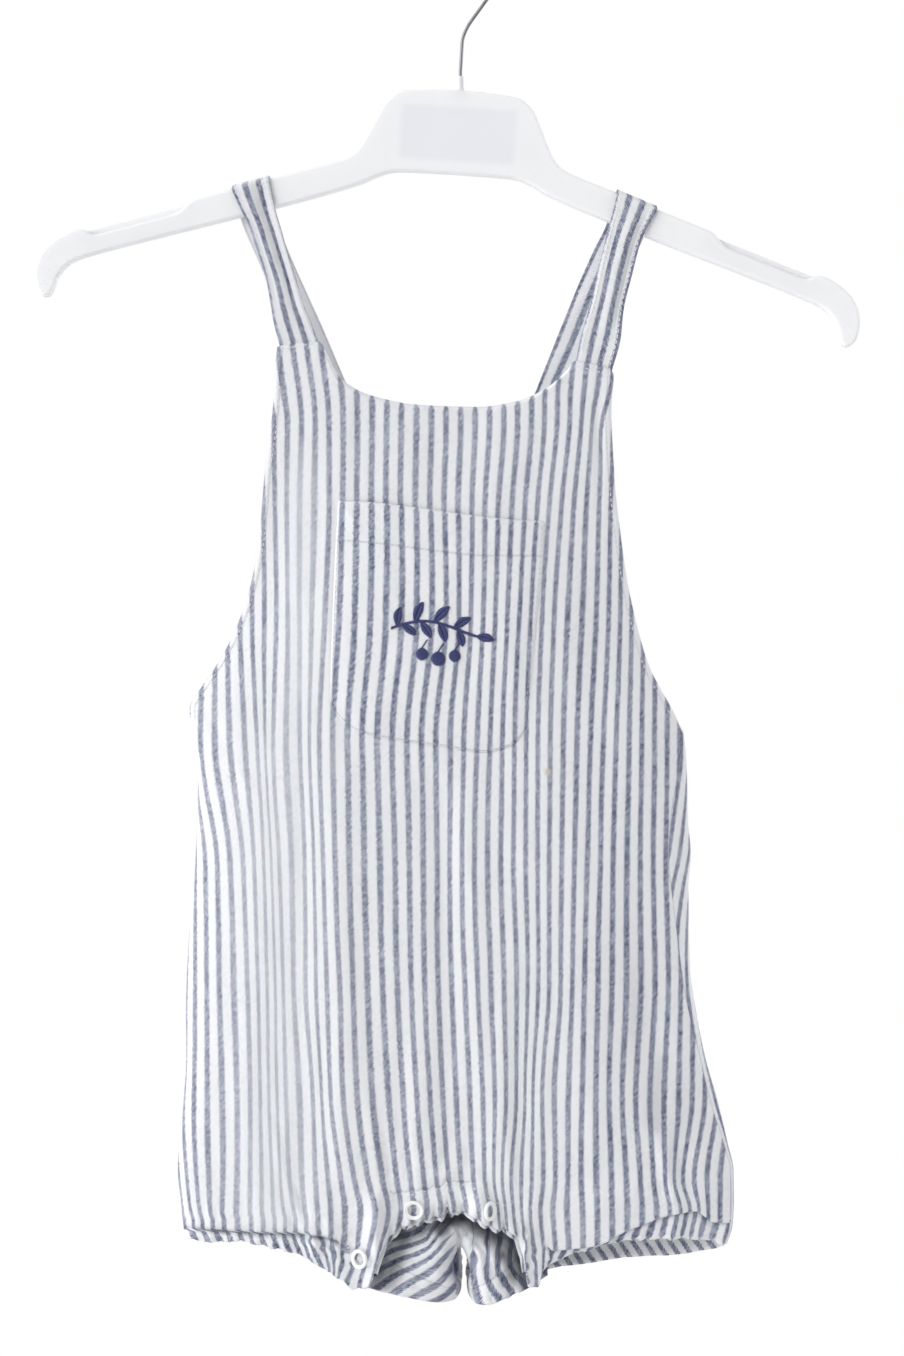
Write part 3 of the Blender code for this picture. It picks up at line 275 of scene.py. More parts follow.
# How the stripes hang: the place across the front of every second or third
# stripe, at eleven heights, from the bib (a) to the feet (k).
DRAPE_Z = (-195.0, -220.0, -227.5, -262.3, -314.7, -367.0, -419.3, -471.6, -523.9, -558.8, -571.9, -589.3, -605.0)
Stripe = namedtuple("Stripe", "n top bib a b c d e f g h i j k")
DRAPE = (
    Stripe(-10, -152.0, -139.5, -139.5, -138.4, -138.0, -139.1, -131.2, -128.4, -130.1, -126.4, -124.7, -120.0, -120.0),
    Stripe(-8, -139.0, -128.6, -128.6, -127.5, -127.1, -128.2, -120.3, -119.5, -119.9, -118.6, -117.3, -109.4, -109.4),
    Stripe(-6, -127.0, -117.7, -117.7, -116.6, -116.2, -117.3, -109.9, -109.0, -107.7, -107.3, -107.7, -99.4, -99.4),
    Stripe(-4, -115.0, -106.8, -106.8, -105.7, -105.3, -104.2, -98.5, -96.8, -95.5, -95.5, -95.5, -90.3, -90.3),
    Stripe(-2, -103.0, -95.9, -95.9, -94.8, -94.6, -92.4, -89.4, -88.1, -87.2, -85.9, -85.5, -80.4, -80.4),
    Stripe(0, -90.5, -86.3, -85.0, -84.6, -84.1, -85.5, -82.8, -81.1, -79.8, -78.5, -76.7, -72.4, -73.7),
    Stripe(2, -77.0, -73.4, -72.8, -73.7, -74.1, -73.7, -71.5, -71.1, -68.0, -67.1, -66.3, -65.0, -68.5),
    Stripe(4, -64.5, -61.3, -61.0, -61.0, -63.2, -65.4, -63.7, -61.9, -60.2, -55.8, -54.1, -54.1, -59.7),
    Stripe(6, -51.0, -48.4, -48.4, -48.8, -49.7, -52.8, -52.3, -50.6, -48.4, -44.0, -41.0, -44.0, -48.0),
    Stripe(9, -31.0, -29.2, -29.2, -29.6, -29.3, -33.6, -32.3, -31.4, -28.8, -25.7, -24.4, -29.2, -34.0),
    Stripe(12, -10.8, -10.0, -10.0, -10.9, -10.0, -14.4, -14.0, -13.5, -11.3, -8.7, -6.5, -9.0, -12.0),
    Stripe(15, 8.9, 8.7, 8.7, 7.0, 6.1, 3.5, 2.2, 3.9, 6.1, 7.0, 9.2, 10.0, 9.0),
    Stripe(18, 28.5, 27.0, 27.0, 24.4, 21.8, 19.6, 19.2, 20.5, 20.5, 18.3, 19.2, 20.8, 21.0),
    Stripe(21, 46.3, 44.2, 44.0, 40.5, 37.1, 35.3, 34.9, 34.9, 31.8, 32.3, 31.0, 32.6, 33.4),
    Stripe(24, 64.6, 60.2, 58.9, 56.7, 55.4, 52.8, 51.4, 50.6, 49.3, 48.8, 49.3, 49.8, 50.2),
    Stripe(26, 76.5, 69.3, 69.3, 66.7, 65.8, 64.1, 62.8, 62.3, 61.0, 61.9, 62.3, 62.3, 62.3),
    Stripe(28, 87.5, 79.8, 79.8, 77.2, 75.9, 75.4, 74.6, 75.0, 72.4, 74.6, 75.4, 75.4, 75.4),
    Stripe(30, 98.5, 90.3, 90.3, 87.6, 86.3, 86.3, 85.9, 86.8, 85.0, 85.5, 87.6, 87.6, 87.6),
    Stripe(32, 109.5, 100.7, 100.7, 98.1, 96.8, 96.8, 96.4, 97.2, 97.2, 93.3, 96.6, 96.6, 96.6),
    Stripe(34, 120.5, 111.2, 111.2, 108.6, 107.3, 107.3, 106.8, 107.7, 108.1, 103.8, 104.2, 104.2, 104.2),
    Stripe(36, 131.0, 121.6, 121.6, 119.0, 117.7, 117.7, 117.3, 118.2, 118.6, 115.1, 114.7, 114.7, 114.7),
)
# The back's own stripes meet the right seam at a slant: the stripe count there.
Meet = namedtuple("Meet", "z n")
WRAP_MEETS = (
    Meet(-360, 0.9), Meet(-395, 0.74), Meet(-415, 1.0), Meet(-433, 2.0), Meet(-451.5, 3.0),
    Meet(-475, 3.65), Meet(-493.4, 4.0), Meet(-506, 4.35), Meet(-525, 4.42), Meet(-544, 4.5), Meet(-592, 4.5),
)


# ---------------------------------------------------------------- curves and noise
def cubic(xs, ys, steps=20):
    """Dense points of the monotone cubic through xs, ys."""
    xs, ys = np.asarray(xs, float), np.asarray(ys, float)
    if xs[0] > xs[-1]:
        xs, ys = xs[::-1], ys[::-1]
    h = np.diff(xs)
    d = np.diff(ys) / h
    m = np.empty_like(xs)
    m[0], m[-1] = d[0], d[-1]
    a, b = d[:-1], d[1:]
    total = np.where(np.abs(a + b) < 1e-12, 1.0, a + b)
    m[1:-1] = np.where(a * b <= 0, 0.0, 2 * a * b / total)
    s = np.arange(steps) / steps
    px = xs[:-1, None] + h[:, None] * s
    py = (
        (2 * s**3 - 3 * s**2 + 1) * ys[:-1, None]
        + (s**3 - 2 * s**2 + s) * h[:, None] * m[:-1, None]
        + (3 * s**2 - 2 * s**3) * ys[1:, None]
        + (s**3 - s**2) * h[:, None] * m[1:, None]
    )
    return np.append(px.ravel(), xs[-1]), np.append(py.ravel(), ys[-1])


class Run:
    """One named column of a table as a smooth function of another."""

    def __init__(self, rows, key, value):
        self.x, self.y = cubic([getattr(r, key) for r in rows], [getattr(r, value) for r in rows])

    def __call__(self, at):
        return np.interp(at, self.x, self.y)


def ease(s):
    s = np.clip(s, 0.0, 1.0)
    return s * s * (3 - 2 * s)


def bell(d, width):
    return np.exp(-((d / width) ** 2))


def wander(a, b, seed):
    """Smooth seeded noise between about -1 and 1; one cell is one unit."""
    lattice = np.random.default_rng(seed).uniform(-1, 1, (64, 64))
    a, b = np.broadcast_arrays(np.asarray(a, float), np.asarray(b, float))
    i, j = np.floor(a).astype(int), np.floor(b).astype(int)
    p, q = a - i, b - j
    p, q = p * p * (3 - 2 * p), q * q * (3 - 2 * q)

    def at(u, v):
        return lattice[u % 64, v % 64]

    low = at(i, j) * (1 - p) + at(i + 1, j) * p
    high = at(i, j + 1) * (1 - p) + at(i + 1, j + 1) * p
    return low * (1 - q) + high * q


left_at, right_at = Run(OUTLINE, "z", "left"), Run(OUTLINE, "z", "right")
seam_low = Run(RIGHT_SEAM, "z", "x")
neck_z = Run(NECK, "t", "z")
hem_x, hem_z = Run(FRONT_HEM, "t", "x"), Run(FRONT_HEM, "t", "z")
back_top_z = Run(BACK_TOP, "t", "z")
back_hem_x, back_hem_z = Run(BACK_HEM, "t", "x"), Run(BACK_HEM, "t", "z")
depth_of = {k: Run(DEPTHS, "z", k) for k in ("front", "back", "edge", "power")}
blouse_z = Run(BLOUSE, "x", "z")
casing_z = Run(LEFT_CASING, "x", "z")
pocket_left, pocket_right = Run(POCKET_SIDES, "v", "left"), Run(POCKET_SIDES, "v", "right")
pocket_low = Run(POCKET_BOTTOM, "t", "z")
wrap_meet = Run(WRAP_MEETS, "z", "n")


def seam_at(z):
    under = RIGHT_SEAM[0]
    above = right_at(z) - (right_at(under.z) - under.x) * ease(1 - (z - under.z) / 10.0)
    return np.where(z > under.z, above, seam_low(z))


# ---------------------------------------------------------------- the cloth's surface
def folds(x, z, side, rows):
    total = np.zeros(np.broadcast(x, z).shape)
    for f in rows:
        if f.side != side:
            continue
        along = (f.z_top - z) / (f.z_top - f.z_low)
        across = (x - (f.x_top + (f.x_low - f.x_top) * along)) / f.width
        fade = min(34.0, 0.6 * (f.z_top - f.z_low))
        reach = fade * 0.45
        ends = ease((f.z_top + reach - z) / fade) * ease((z - f.z_low + reach) / fade)
        total = total + f.rise * ends * np.exp(-across * across)
    return total


def bag(x, z):
    share = ease((x - BAG_X[0]) / (BAG_X[1] - BAG_X[0])) * ease((BAG_X[2] + 8 - x) / 16)
    return BAG_RISE * share * bell(z - BAG_Z, 9.0)


def full_at(x, z):
    l, r = left_at(z), right_at(z)
    t = np.clip((x - l) / (r - l), 0, 1)
    return (1 - np.abs(2 * t - 1) ** PROFILE_P) ** depth_of["power"](z)


def stand(x, z, side):
    """How far the front or back stands from the hanging plane, large folds included."""
    full = full_at(x, z)
    edge = depth_of["edge"](z)
    rise = folds(x, z, side, FOLDS)
    if side == "front":
        rise = rise + bag(x, z)
    return edge + (depth_of[side](z) - edge) * full + rise * np.minimum(1.0, 1.3 * full)


def snap_ridges(x, z):
    """The cloth lifts where it carries the two turned snaps."""
    line = -41.2 - 0.045 * (z + 560)
    crest = ease((-556 - z) / 24) * ease((z + 616) / 14)
    d = x - line
    left = 4.6 * crest * np.where(d < 0, ease(1 + d / 8.6), ease(1 - d / 5.0))
    d = x - (5.6 - 0.25 * (z + 570.4))
    high = bell(z + 570.0, 7.6)
    right = 5.6 * high * np.where(d < 0, ease(1 + d / 8.5), ease(1 - d / 6.4))
    return left + right


def relief(x, z, side):
    """Creases, crumples and small waves on top of the large folds."""
    full = np.minimum(1.0, 1.5 * full_at(x, z))
    seed = 11 if side == "front" else 41
    low = ease((-470 - z) / 110)
    up = ease((z + 330) / 60)
    rise = folds(x, z, side, CREASES)
    rise = rise + (0.34 + 0.2 * low) * wander(x / 11, z / 52, seed)
    rise = rise + (0.16 + 0.16 * low + 0.05 * up) * wander(x / 4.6 + 0.02 * z, z / 19, seed + 1)
    rise = rise + 0.05 * wander(x / 2.3, z / 6.0, seed + 2)
    rise = rise + 0.22 * wander((x + z) / 17, (x - z) / 24, seed + 3)
    rise = rise * full
    if side == "front":
        rise = rise + snap_ridges(x, z)
    return rise


def front_skin(x, z):
    """y of the front's outer face."""
    return -(stand(x, z, "front") + relief(x, z, "front"))


def back_skin(x, z):
    return stand(x, z, "back") + relief(x, z, "back")


# ---------------------------------------------------------------- the cloth's grain
DRAPE_X = np.arange(-150.0, 150.1, 1.0)
DRAPE_H = np.arange(-620.0, -189.9, 2.0)


def drape_map():
    names = Stripe._fields[1:]
    at = []
    for s in DRAPE:
        zs, xs = cubic(DRAPE_Z[::-1], [getattr(s, k) for k in names][::-1])
        at.append(np.interp(DRAPE_H, zs, xs))
    at = np.array(at)
    count = [s.n for s in DRAPE]
    table = np.empty((len(DRAPE_H), len(DRAPE_X)))
    for k in range(len(DRAPE_H)):
        xs, ns = cubic(at[:, k], count)
        table[k] = np.interp(DRAPE_X, xs, ns)
        low, high = DRAPE_X < xs[0], DRAPE_X > xs[-1]
        table[k][low] = ns[0] + (DRAPE_X[low] - xs[0]) / 5.6
        table[k][high] = ns[-1] + (DRAPE_X[high] - xs[-1]) / 5.2
    return table


DRAPE_TABLE = drape_map()


def on_map(table, x, z):
    a = np.clip((x - DRAPE_X[0]) / 1.0, 0, len(DRAPE_X) - 1.001)
    b = np.clip((z - DRAPE_H[0]) / 2.0, 0, len(DRAPE_H) - 1.001)
    i, j = a.astype(int), b.astype(int)
    p, q = a - i, b - j
    low = table[j, i] * (1 - p) + table[j, i + 1] * p
    high = table[j + 1, i] * (1 - p) + table[j + 1, i + 1] * p
    return low * (1 - q) + high * q


def front_grain(x, z):
    """Stripe count at a place on the front. The drape table is given on the
    hanging plane, so a place that stands nearer is first carried onto it."""
    y = -stand(x, z, "front")
    k = PLANE / (y - EYE[1])
    xa, za = EYE[0] + (x - EYE[0]) * k, EYE[2] + (z - EYE[2]) * k
    slip = 0.035 * wander(x / 7, z / 30, 71) + 0.05 * wander(x / 24, z / 80, 72)
    u = on_map(DRAPE_TABLE, xa, za)
    # the left leg's stripes hang straight to the casing's seam and start again below it
    seam = casing_z(x)
    over = on_map(DRAPE_TABLE, xa, np.maximum(za, -575.5))
    under = on_map(DRAPE_TABLE, xa - 1.6 + 0.42 * np.clip(za - seam + 6, -8, 8), np.full_like(za, -589.3))
    below = ease((seam - za + 0.35) / 0.7)
    hold = ease((-55.0 - xa) / 8.0)
    return u * (1 - hold) + (over * (1 - below) + under * below) * hold + slip


# ---------------------------------------------------------------- mesh making
def mesh_object(name, points, faces, look, uv=None, values=None, smooth=True):
    data = bpy.data.meshes.new(name)
    data.from_pydata(np.asarray(points, float) * MM, [], faces)
    if uv is not None:
        loops = np.empty(len(data.loops), dtype=np.int32)
        data.loops.foreach_get("vertex_index", loops)
        layer = data.uv_layers.new(name="grain")
        layer.data.foreach_set("uv", np.ascontiguousarray(uv[loops], dtype=np.float32).ravel())
    for key, value in (values or {}).items():
        layer = data.attributes.new(key, "FLOAT", "POINT")
        layer.data.foreach_set("value", np.ascontiguousarray(value, dtype=np.float32).ravel())
    data.materials.append(look)
    if smooth:
        data.shade_smooth()
    obj = bpy.data.objects.new(name, data)
    bpy.context.scene.collection.objects.link(obj)
    return obj


def grid_faces(columns, rows, offset=0):
    idx = np.arange(columns * rows).reshape(columns, rows) + offset
    return np.stack(
        [idx[:-1, :-1], idx[:-1, 1:], idx[1:, 1:], idx[1:, :-1]], axis=-1
    ).reshape(-1, 4)


def sheet_object(name, points, u, v, look, duty=0.34, line_a=None, line_b=None, wall=CLOTH, offset=-1.0, fade=0.0, painted_shade_and_light=0.0):
    """A sheet from a grid of points, thickened inwards."""
    columns, rows = points.shape[:2]
    flat = np.ones((columns, rows))
    values = {
        "duty": (flat * duty).ravel(),
        "fade": (flat * fade).ravel(),
        "painted_shade_and_light": (flat * painted_shade_and_light).ravel(),
        "line_a": (flat * 99.0 if line_a is None else line_a).ravel(),
        "line_b": (flat * 99.0 if line_b is None else line_b).ravel(),
    }
    uv = np.stack([np.broadcast_to(u, (columns, rows)).ravel(), np.broadcast_to(v, (columns, rows)).ravel()], -1)
    obj = mesh_object(name, points.reshape(-1, 3), grid_faces(columns, rows).tolist(), look, uv, values)
    shell = obj.modifiers.new("wall", "SOLIDIFY")
    shell.thickness = wall * MM
    shell.offset = offset
    shell.use_even_offset = False
    shell.use_rim = True
    return obj


def beads(name, paths, look, length=1.7, gap=0.75, radius=0.2, sides=5):
    """Stitches: one small rounded capsule after another along each path. A path
    is (points, normals) in mm; the capsules lie on it, half sunk in."""
    points, faces = [], []
    ring = np.linspace(0, 2 * math.pi, sides, endpoint=False)
    shape = ((0.0, 0.35), (0.18, 0.9), (0.5, 1.0), (0.82, 0.9), (1.0, 0.35))
    for path, normals in paths:
        path, normals = np.asarray(path, float), np.asarray(normals, float)
        step = np.linalg.norm(np.diff(path, axis=0), axis=1)
        run = np.append(0, np.cumsum(step))
        count = int(run[-1] / (length + gap))
        if count < 1:
            continue
        pitch = run[-1] / count
        for k in range(count):
            a, b = (k + 0.12) * pitch, (k + 0.12) * pitch + length * pitch / (length + gap)
            pa = np.array([np.interp(a, run, path[:, i]) for i in range(3)])
            pb = np.array([np.interp(b, run, path[:, i]) for i in range(3)])
            n = np.array([np.interp((a + b) / 2, run, normals[:, i]) for i in range(3)])
            along = pb - pa
            size = np.linalg.norm(along)
            if size < 1e-6:
                continue
            n = n - along * np.dot(n, along) / size**2
            n /= max(1e-9, np.linalg.norm(n))
            side = np.cross(along / size, n)
            base = len(points)
            for s, r in shape:
                rise = 0.14 * math.sin(math.pi * s)
                for c, w in zip(np.cos(ring), np.sin(ring)):
                    points.append(pa + along * s + side * c * radius * r + n * (w * radius * 0.75 * r + rise * radius))
            for i in range(len(shape) - 1):
                for j in range(sides):
                    q = (j + 1) % sides
                    faces.append((base + i * sides + j, base + i * sides + q,
                                  base + (i + 1) * sides + q, base + (i + 1) * sides + j))
            faces.append(tuple(base + j for j in reversed(range(sides))))
            faces.append(tuple(base + (len(shape) - 1) * sides + j for j in range(sides)))
    return mesh_object(name, points, faces, look)


def on_front(xs, zs, lift=0.1):
    """A path on the front's face, with its outward normals."""
    xs, zs = np.asarray(xs, float), np.asarray(zs, float)
    y = front_skin(xs, zs)
    e = 0.6
    gx = (front_skin(xs + e, zs) - front_skin(xs - e, zs)) / (2 * e)
    gz = (front_skin(xs, zs + e) - front_skin(xs, zs - e)) / (2 * e)
    n = np.stack([gx, -np.ones_like(gx), gz], -1)
    n /= np.linalg.norm(n, axis=1)[:, None]
    return np.stack([xs, y, zs], -1) + n * lift, n


# ---------------------------------------------------------------- materials
class Nodes:
    """A material's node tree, with short calls for the nodes used here."""

    def __init__(self, name):
        self.mat = bpy.data.materials.new(name)
        self.mat.use_nodes = True
        self.tree = self.mat.node_tree
        self.shader = self.tree.nodes["Principled BSDF"]

    def put(self, socket, value):
        if hasattr(value, "is_linked") or hasattr(value, "links"):
            self.tree.links.new(value, socket)
        else:
            socket.default_value = value

    def math(self, op, a, b=None, c=None, clamp=False):
        n = self.tree.nodes.new("ShaderNodeMath")
        n.operation = op
        n.use_clamp = clamp
        for k, value in enumerate((a, b, c)):
            if value is not None:
                self.put(n.inputs[k], value)
        return n.outputs[0]

    def step(self, value, low, high, to=(0.0, 1.0)):
        n = self.tree.nodes.new("ShaderNodeMapRange")
        n.interpolation_type = "SMOOTHSTEP"
        for k, v in enumerate((value, low, high, to[0], to[1])):
            self.put(n.inputs[k], v)
        return n.outputs[0]

    def mix(self, share, a, b, kind="MIX"):
        n = self.tree.nodes.new("ShaderNodeMix")
        n.data_type = "RGBA"
        n.blend_type = kind
        self.put(n.inputs[0], share)
        self.put(n.inputs[6], a)
        self.put(n.inputs[7], b)
        return n.outputs[2]

    def join(self, x, y, z=0.0):
        n = self.tree.nodes.new("ShaderNodeCombineXYZ")
        for k, v in enumerate((x, y, z)):
            self.put(n.inputs[k], v)
        return n.outputs[0]

    def split(self, v):
        n = self.tree.nodes.new("ShaderNodeSeparateXYZ")
        self.put(n.inputs[0], v)
        return n.outputs

    def noise(self, vector, scale=1.0, detail=2.0, rough=0.5):
        n = self.tree.nodes.new("ShaderNodeTexNoise")
        self.put(n.inputs["Vector"], vector)
        n.inputs["Scale"].default_value = scale
        n.inputs["Detail"].default_value = detail
        n.inputs["Roughness"].default_value = rough
        return n.outputs[0]

    def uv(self):
        n = self.tree.nodes.new("ShaderNodeUVMap")
        n.uv_map = "grain"
        return self.split(n.outputs[0])

    def value(self, name):
        n = self.tree.nodes.new("ShaderNodeAttribute")
        n.attribute_name = name
        return n.outputs["Fac"]

    def place(self):
        n = self.tree.nodes.new("ShaderNodeTexCoord")
        return n.outputs["Object"]

    def bump(self, height, strength, distance):
        n = self.tree.nodes.new("ShaderNodeBump")
        n.inputs["Strength"].default_value = strength
        n.inputs["Distance"].default_value = distance
        self.put(n.inputs["Height"], height)
        self.tree.links.new(n.outputs[0], self.shader.inputs["Normal"])

    def set(self, **values):
        for key, value in values.items():
            self.put(self.shader.inputs[key.replace("_", " ")], value)


def striped_cloth():
    """Cotton twill, off-white with narrow yarn-dyed slate stripes."""
    m = Nodes("striped_twill")
    u, v, _ = m.uv()
    diagonal = m.math("SINE", m.math("MULTIPLY", m.math("ADD", m.math("MULTIPLY", u, 5.0), m.math("MULTIPLY", v, 5.3)), 2 * math.pi))
    # floats of the weave: short strokes along the twill line
    across, along = m.math("ADD", u, v), m.math("SUBTRACT", u, v)
    floats = m.noise(m.join(m.math("MULTIPLY", across, 4.2), m.math("MULTIPLY", along, 1.5)), 1.0, 1.0, 0.5)
    fine = m.noise(m.join(m.math("MULTIPLY", u, 7.0), m.math("MULTIPLY", v, 7.0)), 1.0, 1.0, 0.5)
    mottle = m.noise(m.join(m.math("MULTIPLY", u, 2.6), m.math("MULTIPLY", v, 2.9)), 1.0, 2.0, 0.6)
    edge = m.noise(m.join(m.math("MULTIPLY", u, 3.1), m.math("MULTIPLY", v, 4.1)), 1.0, 1.0, 0.5)
    slub = m.noise(m.join(m.math("MULTIPLY", u, 1.9), m.math("MULTIPLY", v, 0.42)), 1.0, 3.0, 0.6)
    slow = m.noise(m.join(m.math("MULTIPLY", u, 0.31), m.math("MULTIPLY", v, 0.13)), 1.0, 2.0, 0.5)
    shift = m.math("ADD", m.math("MULTIPLY", diagonal, 0.03), m.math("MULTIPLY", m.math("SUBTRACT", floats, 0.5), 0.12))
    shift = m.math("ADD", shift, m.math("MULTIPLY", m.math("SUBTRACT", edge, 0.5), 0.13))
    ue = m.math("ADD", u, shift)
    off = m.math("ABSOLUTE", m.math("SUBTRACT", m.math("FRACT", m.math("ADD", ue, 0.5)), 0.5))
    half = m.math("MULTIPLY", m.value("duty"), 0.5)
    stripe = m.step(m.math("SUBTRACT", half, off), -0.085, 0.065)
    # the dyed yarns: slate threads crossed by white ones
    speck = m.math("ADD", m.math("MULTIPLY", diagonal, 0.14), m.math("MULTIPLY", m.math("SUBTRACT", fine, 0.5), 0.7))
    speck = m.math("ADD", speck, m.math("MULTIPLY", m.math("SUBTRACT", floats, 0.5), 1.5))
    speck = m.math("ADD", speck, m.math("MULTIPLY", m.math("SUBTRACT", mottle, 0.5), 1.35))
    speck = m.math("ADD", speck, m.math("MULTIPLY", m.math("SUBTRACT", slub, 0.5), 1.7))
    tone = m.math("ADD", 0.47, speck, clamp=True)
    dyed = m.mix(tone, (0.098, 0.114, 0.195, 1), (0.43, 0.455, 0.545, 1))
    strength = m.step(m.math("ADD", slub, m.math("MULTIPLY", m.math("SUBTRACT", slow, 0.5), 0.8)), 0.22, 0.42, (0.72, 1.0))
    # painted light: the stripes are paled towards the garment's left side and where the light is strongest
    paled_by_painted_light = m.math("MULTIPLY", strength, m.math("SUBTRACT", 1.0, m.value("fade")))
    # the ground: slightly uneven at random, with a painted shade of a small ripple beside each stripe
    beside = m.math("SUBTRACT", 1.0, m.step(off, 0.2, 0.36))
    grey = m.math("ADD", m.math("MULTIPLY", beside, 0.25), m.math("MULTIPLY", m.math("SUBTRACT", slow, 0.5), 1.0))
    grey = m.math("ADD", grey, m.math("MULTIPLY", m.math("SUBTRACT", floats, 0.5), 1.1))
    grey = m.math("ADD", grey, m.math("MULTIPLY", m.math("SUBTRACT", mottle, 0.5), 1.2), clamp=True)
    ground = m.mix(grey, (0.848, 0.856, 0.876, 1), (0.722, 0.730, 0.768, 1))
    tint = m.noise(m.join(m.math("MULTIPLY", u, 1.1), m.math("MULTIPLY", m.math("ADD", v, 40.0), 0.8)), 1.0, 2.0, 0.6)
    ground = m.mix(m.step(tint, 0.38, 0.62), m.mix(1.0, ground, (1.0, 0.986, 1.004, 1), "MULTIPLY"), m.mix(1.0, ground, (0.985, 1.0, 0.996, 1), "MULTIPLY"))
    colour = m.mix(m.math("MULTIPLY", stripe, paled_by_painted_light), ground, dyed)
    # a small beige mark on the front, under the pocket's right corner
    px, py, pz = m.split(m.place())
    away = m.math("ADD", m.math("POWER", m.math("SUBTRACT", px, 0.0342), 2.0), m.math("POWER", m.math("SUBTRACT", pz, -0.3806), 2.0))
    mark = m.math("SUBTRACT", 1.0, m.step(m.math("ADD", m.math("SQRT", away), m.math("MULTIPLY", fine, 0.0014)), 0.0012, 0.0030))
    mark = m.math("MULTIPLY", mark, m.math("LESS_THAN", py, -0.004))
    colour = m.mix(m.math("MULTIPLY", mark, 0.8), colour, (0.62, 0.55, 0.44, 1))
    # seam and topstitch lines: a pressed-in thread line, deeper between stitches
    dash = m.step(m.math("SINE", m.math("MULTIPLY", m.math("ADD", u, v), 2 * math.pi * 2.6)), -0.4, 0.6, (0.55, 1.0))
    near_a = m.math("SUBTRACT", 1.0, m.step(m.math("ABSOLUTE", m.value("line_a")), 0.12, 0.62))
    near_b = m.math("SUBTRACT", 1.0, m.step(m.math("ABSOLUTE", m.value("line_b")), 0.12, 0.5))
    press = m.math("MULTIPLY", m.math("MAXIMUM", near_a, near_b), dash)
    # painted shade of the pressed-in line, darker where it crosses a stripe
    painted_press_shade = m.math("MULTIPLY", press, m.math("ADD", 0.28, m.math("MULTIPLY", stripe, 0.5)))
    colour = m.mix(painted_press_shade, colour, (0.16, 0.17, 0.24, 1))
    # painted shade: the cloth is darkened where the value is above nought, in the hollows under the snap edge and in
    # creases, nicks, seams and folds
    colour = m.mix(m.math("MULTIPLY", m.value("painted_shade_and_light"), 0.64), colour, (0.055, 0.058, 0.082, 1))
    # and painted light: the cloth is lightened on the side that faces the front where the value is below nought, on the
    # left strap's back run and on a fold's crest
    facing = m.split(m.tree.nodes.new("ShaderNodeNewGeometry").outputs["True Normal"])[1]
    painted_light = m.math("MULTIPLY", m.math("MULTIPLY", m.value("painted_shade_and_light"), -1.0, clamp=True), m.math("SUBTRACT", 1.0, m.step(facing, -0.05, 0.35)))
    colour = m.mix(painted_light, colour, (0.93, 0.935, 0.95, 1))
    m.set(Base_Color=colour, Roughness=0.92, Sheen_Weight=0.12, Sheen_Roughness=0.6, Specular_IOR_Level=0.18)
    crinkle = m.noise(m.join(m.math("MULTIPLY", u, 2.3), m.math("MULTIPLY", v, 1.5)), 1.0, 2.0, 0.55)
    height = m.math("ADD", m.math("MULTIPLY", diagonal, 0.16), m.math("MULTIPLY", fine, 0.16))
    height = m.math("ADD", height, m.math("MULTIPLY", crinkle, 0.55))
    height = m.math("SUBTRACT", height, m.math("MULTIPLY", press, 0.5))
    m.bump(height, 0.8, 0.0003)
    return m.mat


def thread(name, light, dark, rough=0.55):
    m = Nodes(name)
    p = m.place()
    n = m.noise(p, 900.0, 2.0, 0.6)
    m.set(Base_Color=m.mix(n, light, dark), Roughness=rough, Sheen_Weight=0.2, Sheen_Roughness=0.4, Specular_IOR_Level=0.3)
    m.bump(m.noise(p, 2600.0, 1.0, 0.5), 0.3, 0.0001)
    return m.mat


def moulded_plastic():
    """White injection-moulded plastic, a little milky, with a greyer blank plate."""
    m = Nodes("hanger_plastic")
    x, y, z = m.split(m.place())
    a = math.radians(HANGER_TILT)
    cx = STEM[0] + -PLATE_DROP * math.sin(a)
    cz = STEM[1] + -PLATE_DROP * math.cos(a)
    dx = m.math("SUBTRACT", x, cx * MM)
    dz = m.math("SUBTRACT", z, cz * MM)
    px = m.math("SUBTRACT", m.math("MULTIPLY", dx, math.cos(a)), m.math("MULTIPLY", dz, math.sin(a)))
    pz = m.math("ADD", m.math("MULTIPLY", dx, math.sin(a)), m.math("MULTIPLY", dz, math.cos(a)))
    wob = m.math("MULTIPLY", m.math("SUBTRACT", m.noise(m.place(), 240.0, 2.0, 0.6), 0.5), 0.0016)
    inx = m.math("SUBTRACT", 1.0, m.step(m.math("ADD", m.math("ABSOLUTE", px), wob), (PLATE_W / 2 - 3.2) * MM, (PLATE_W / 2 + 1.4) * MM))
    inz = m.math("SUBTRACT", 1.0, m.step(m.math("ADD", m.math("ABSOLUTE", pz), wob), (PLATE_H / 2 - 3.0) * MM, (PLATE_H / 2 + 1.2) * MM))
    front = m.math("SUBTRACT", 1.0, m.step(y, -0.0035, -0.003))
    plate = m.math("MULTIPLY", m.math("MULTIPLY", inx, inz), front)
    cloud = m.noise(m.place(), 26.0, 3.0, 0.5)
    base = m.mix(cloud, (0.955, 0.955, 0.968, 1), (0.925, 0.925, 0.948, 1))
    colour = m.mix(m.math("MULTIPLY", plate, 0.72), base, (0.845, 0.85, 0.885, 1))
    m.set(Base_Color=colour, Specular_IOR_Level=0.42, Subsurface_Weight=0.35, Subsurface_Scale=0.004)
    m.shader.inputs["Subsurface Radius"].default_value = (1.0, 1.0, 1.05)
    m.set(Roughness=m.step(m.noise(m.place(), 620.0, 2.0, 0.6), 0.2, 0.8, (0.34, 0.5)))
    m.bump(m.math("ADD", m.noise(m.place(), 480.0, 2.0, 0.5), m.math("MULTIPLY", m.noise(m.place(), 40.0, 1.0, 0.5), 1.2)), 0.12, 0.0003)
    return m.mat


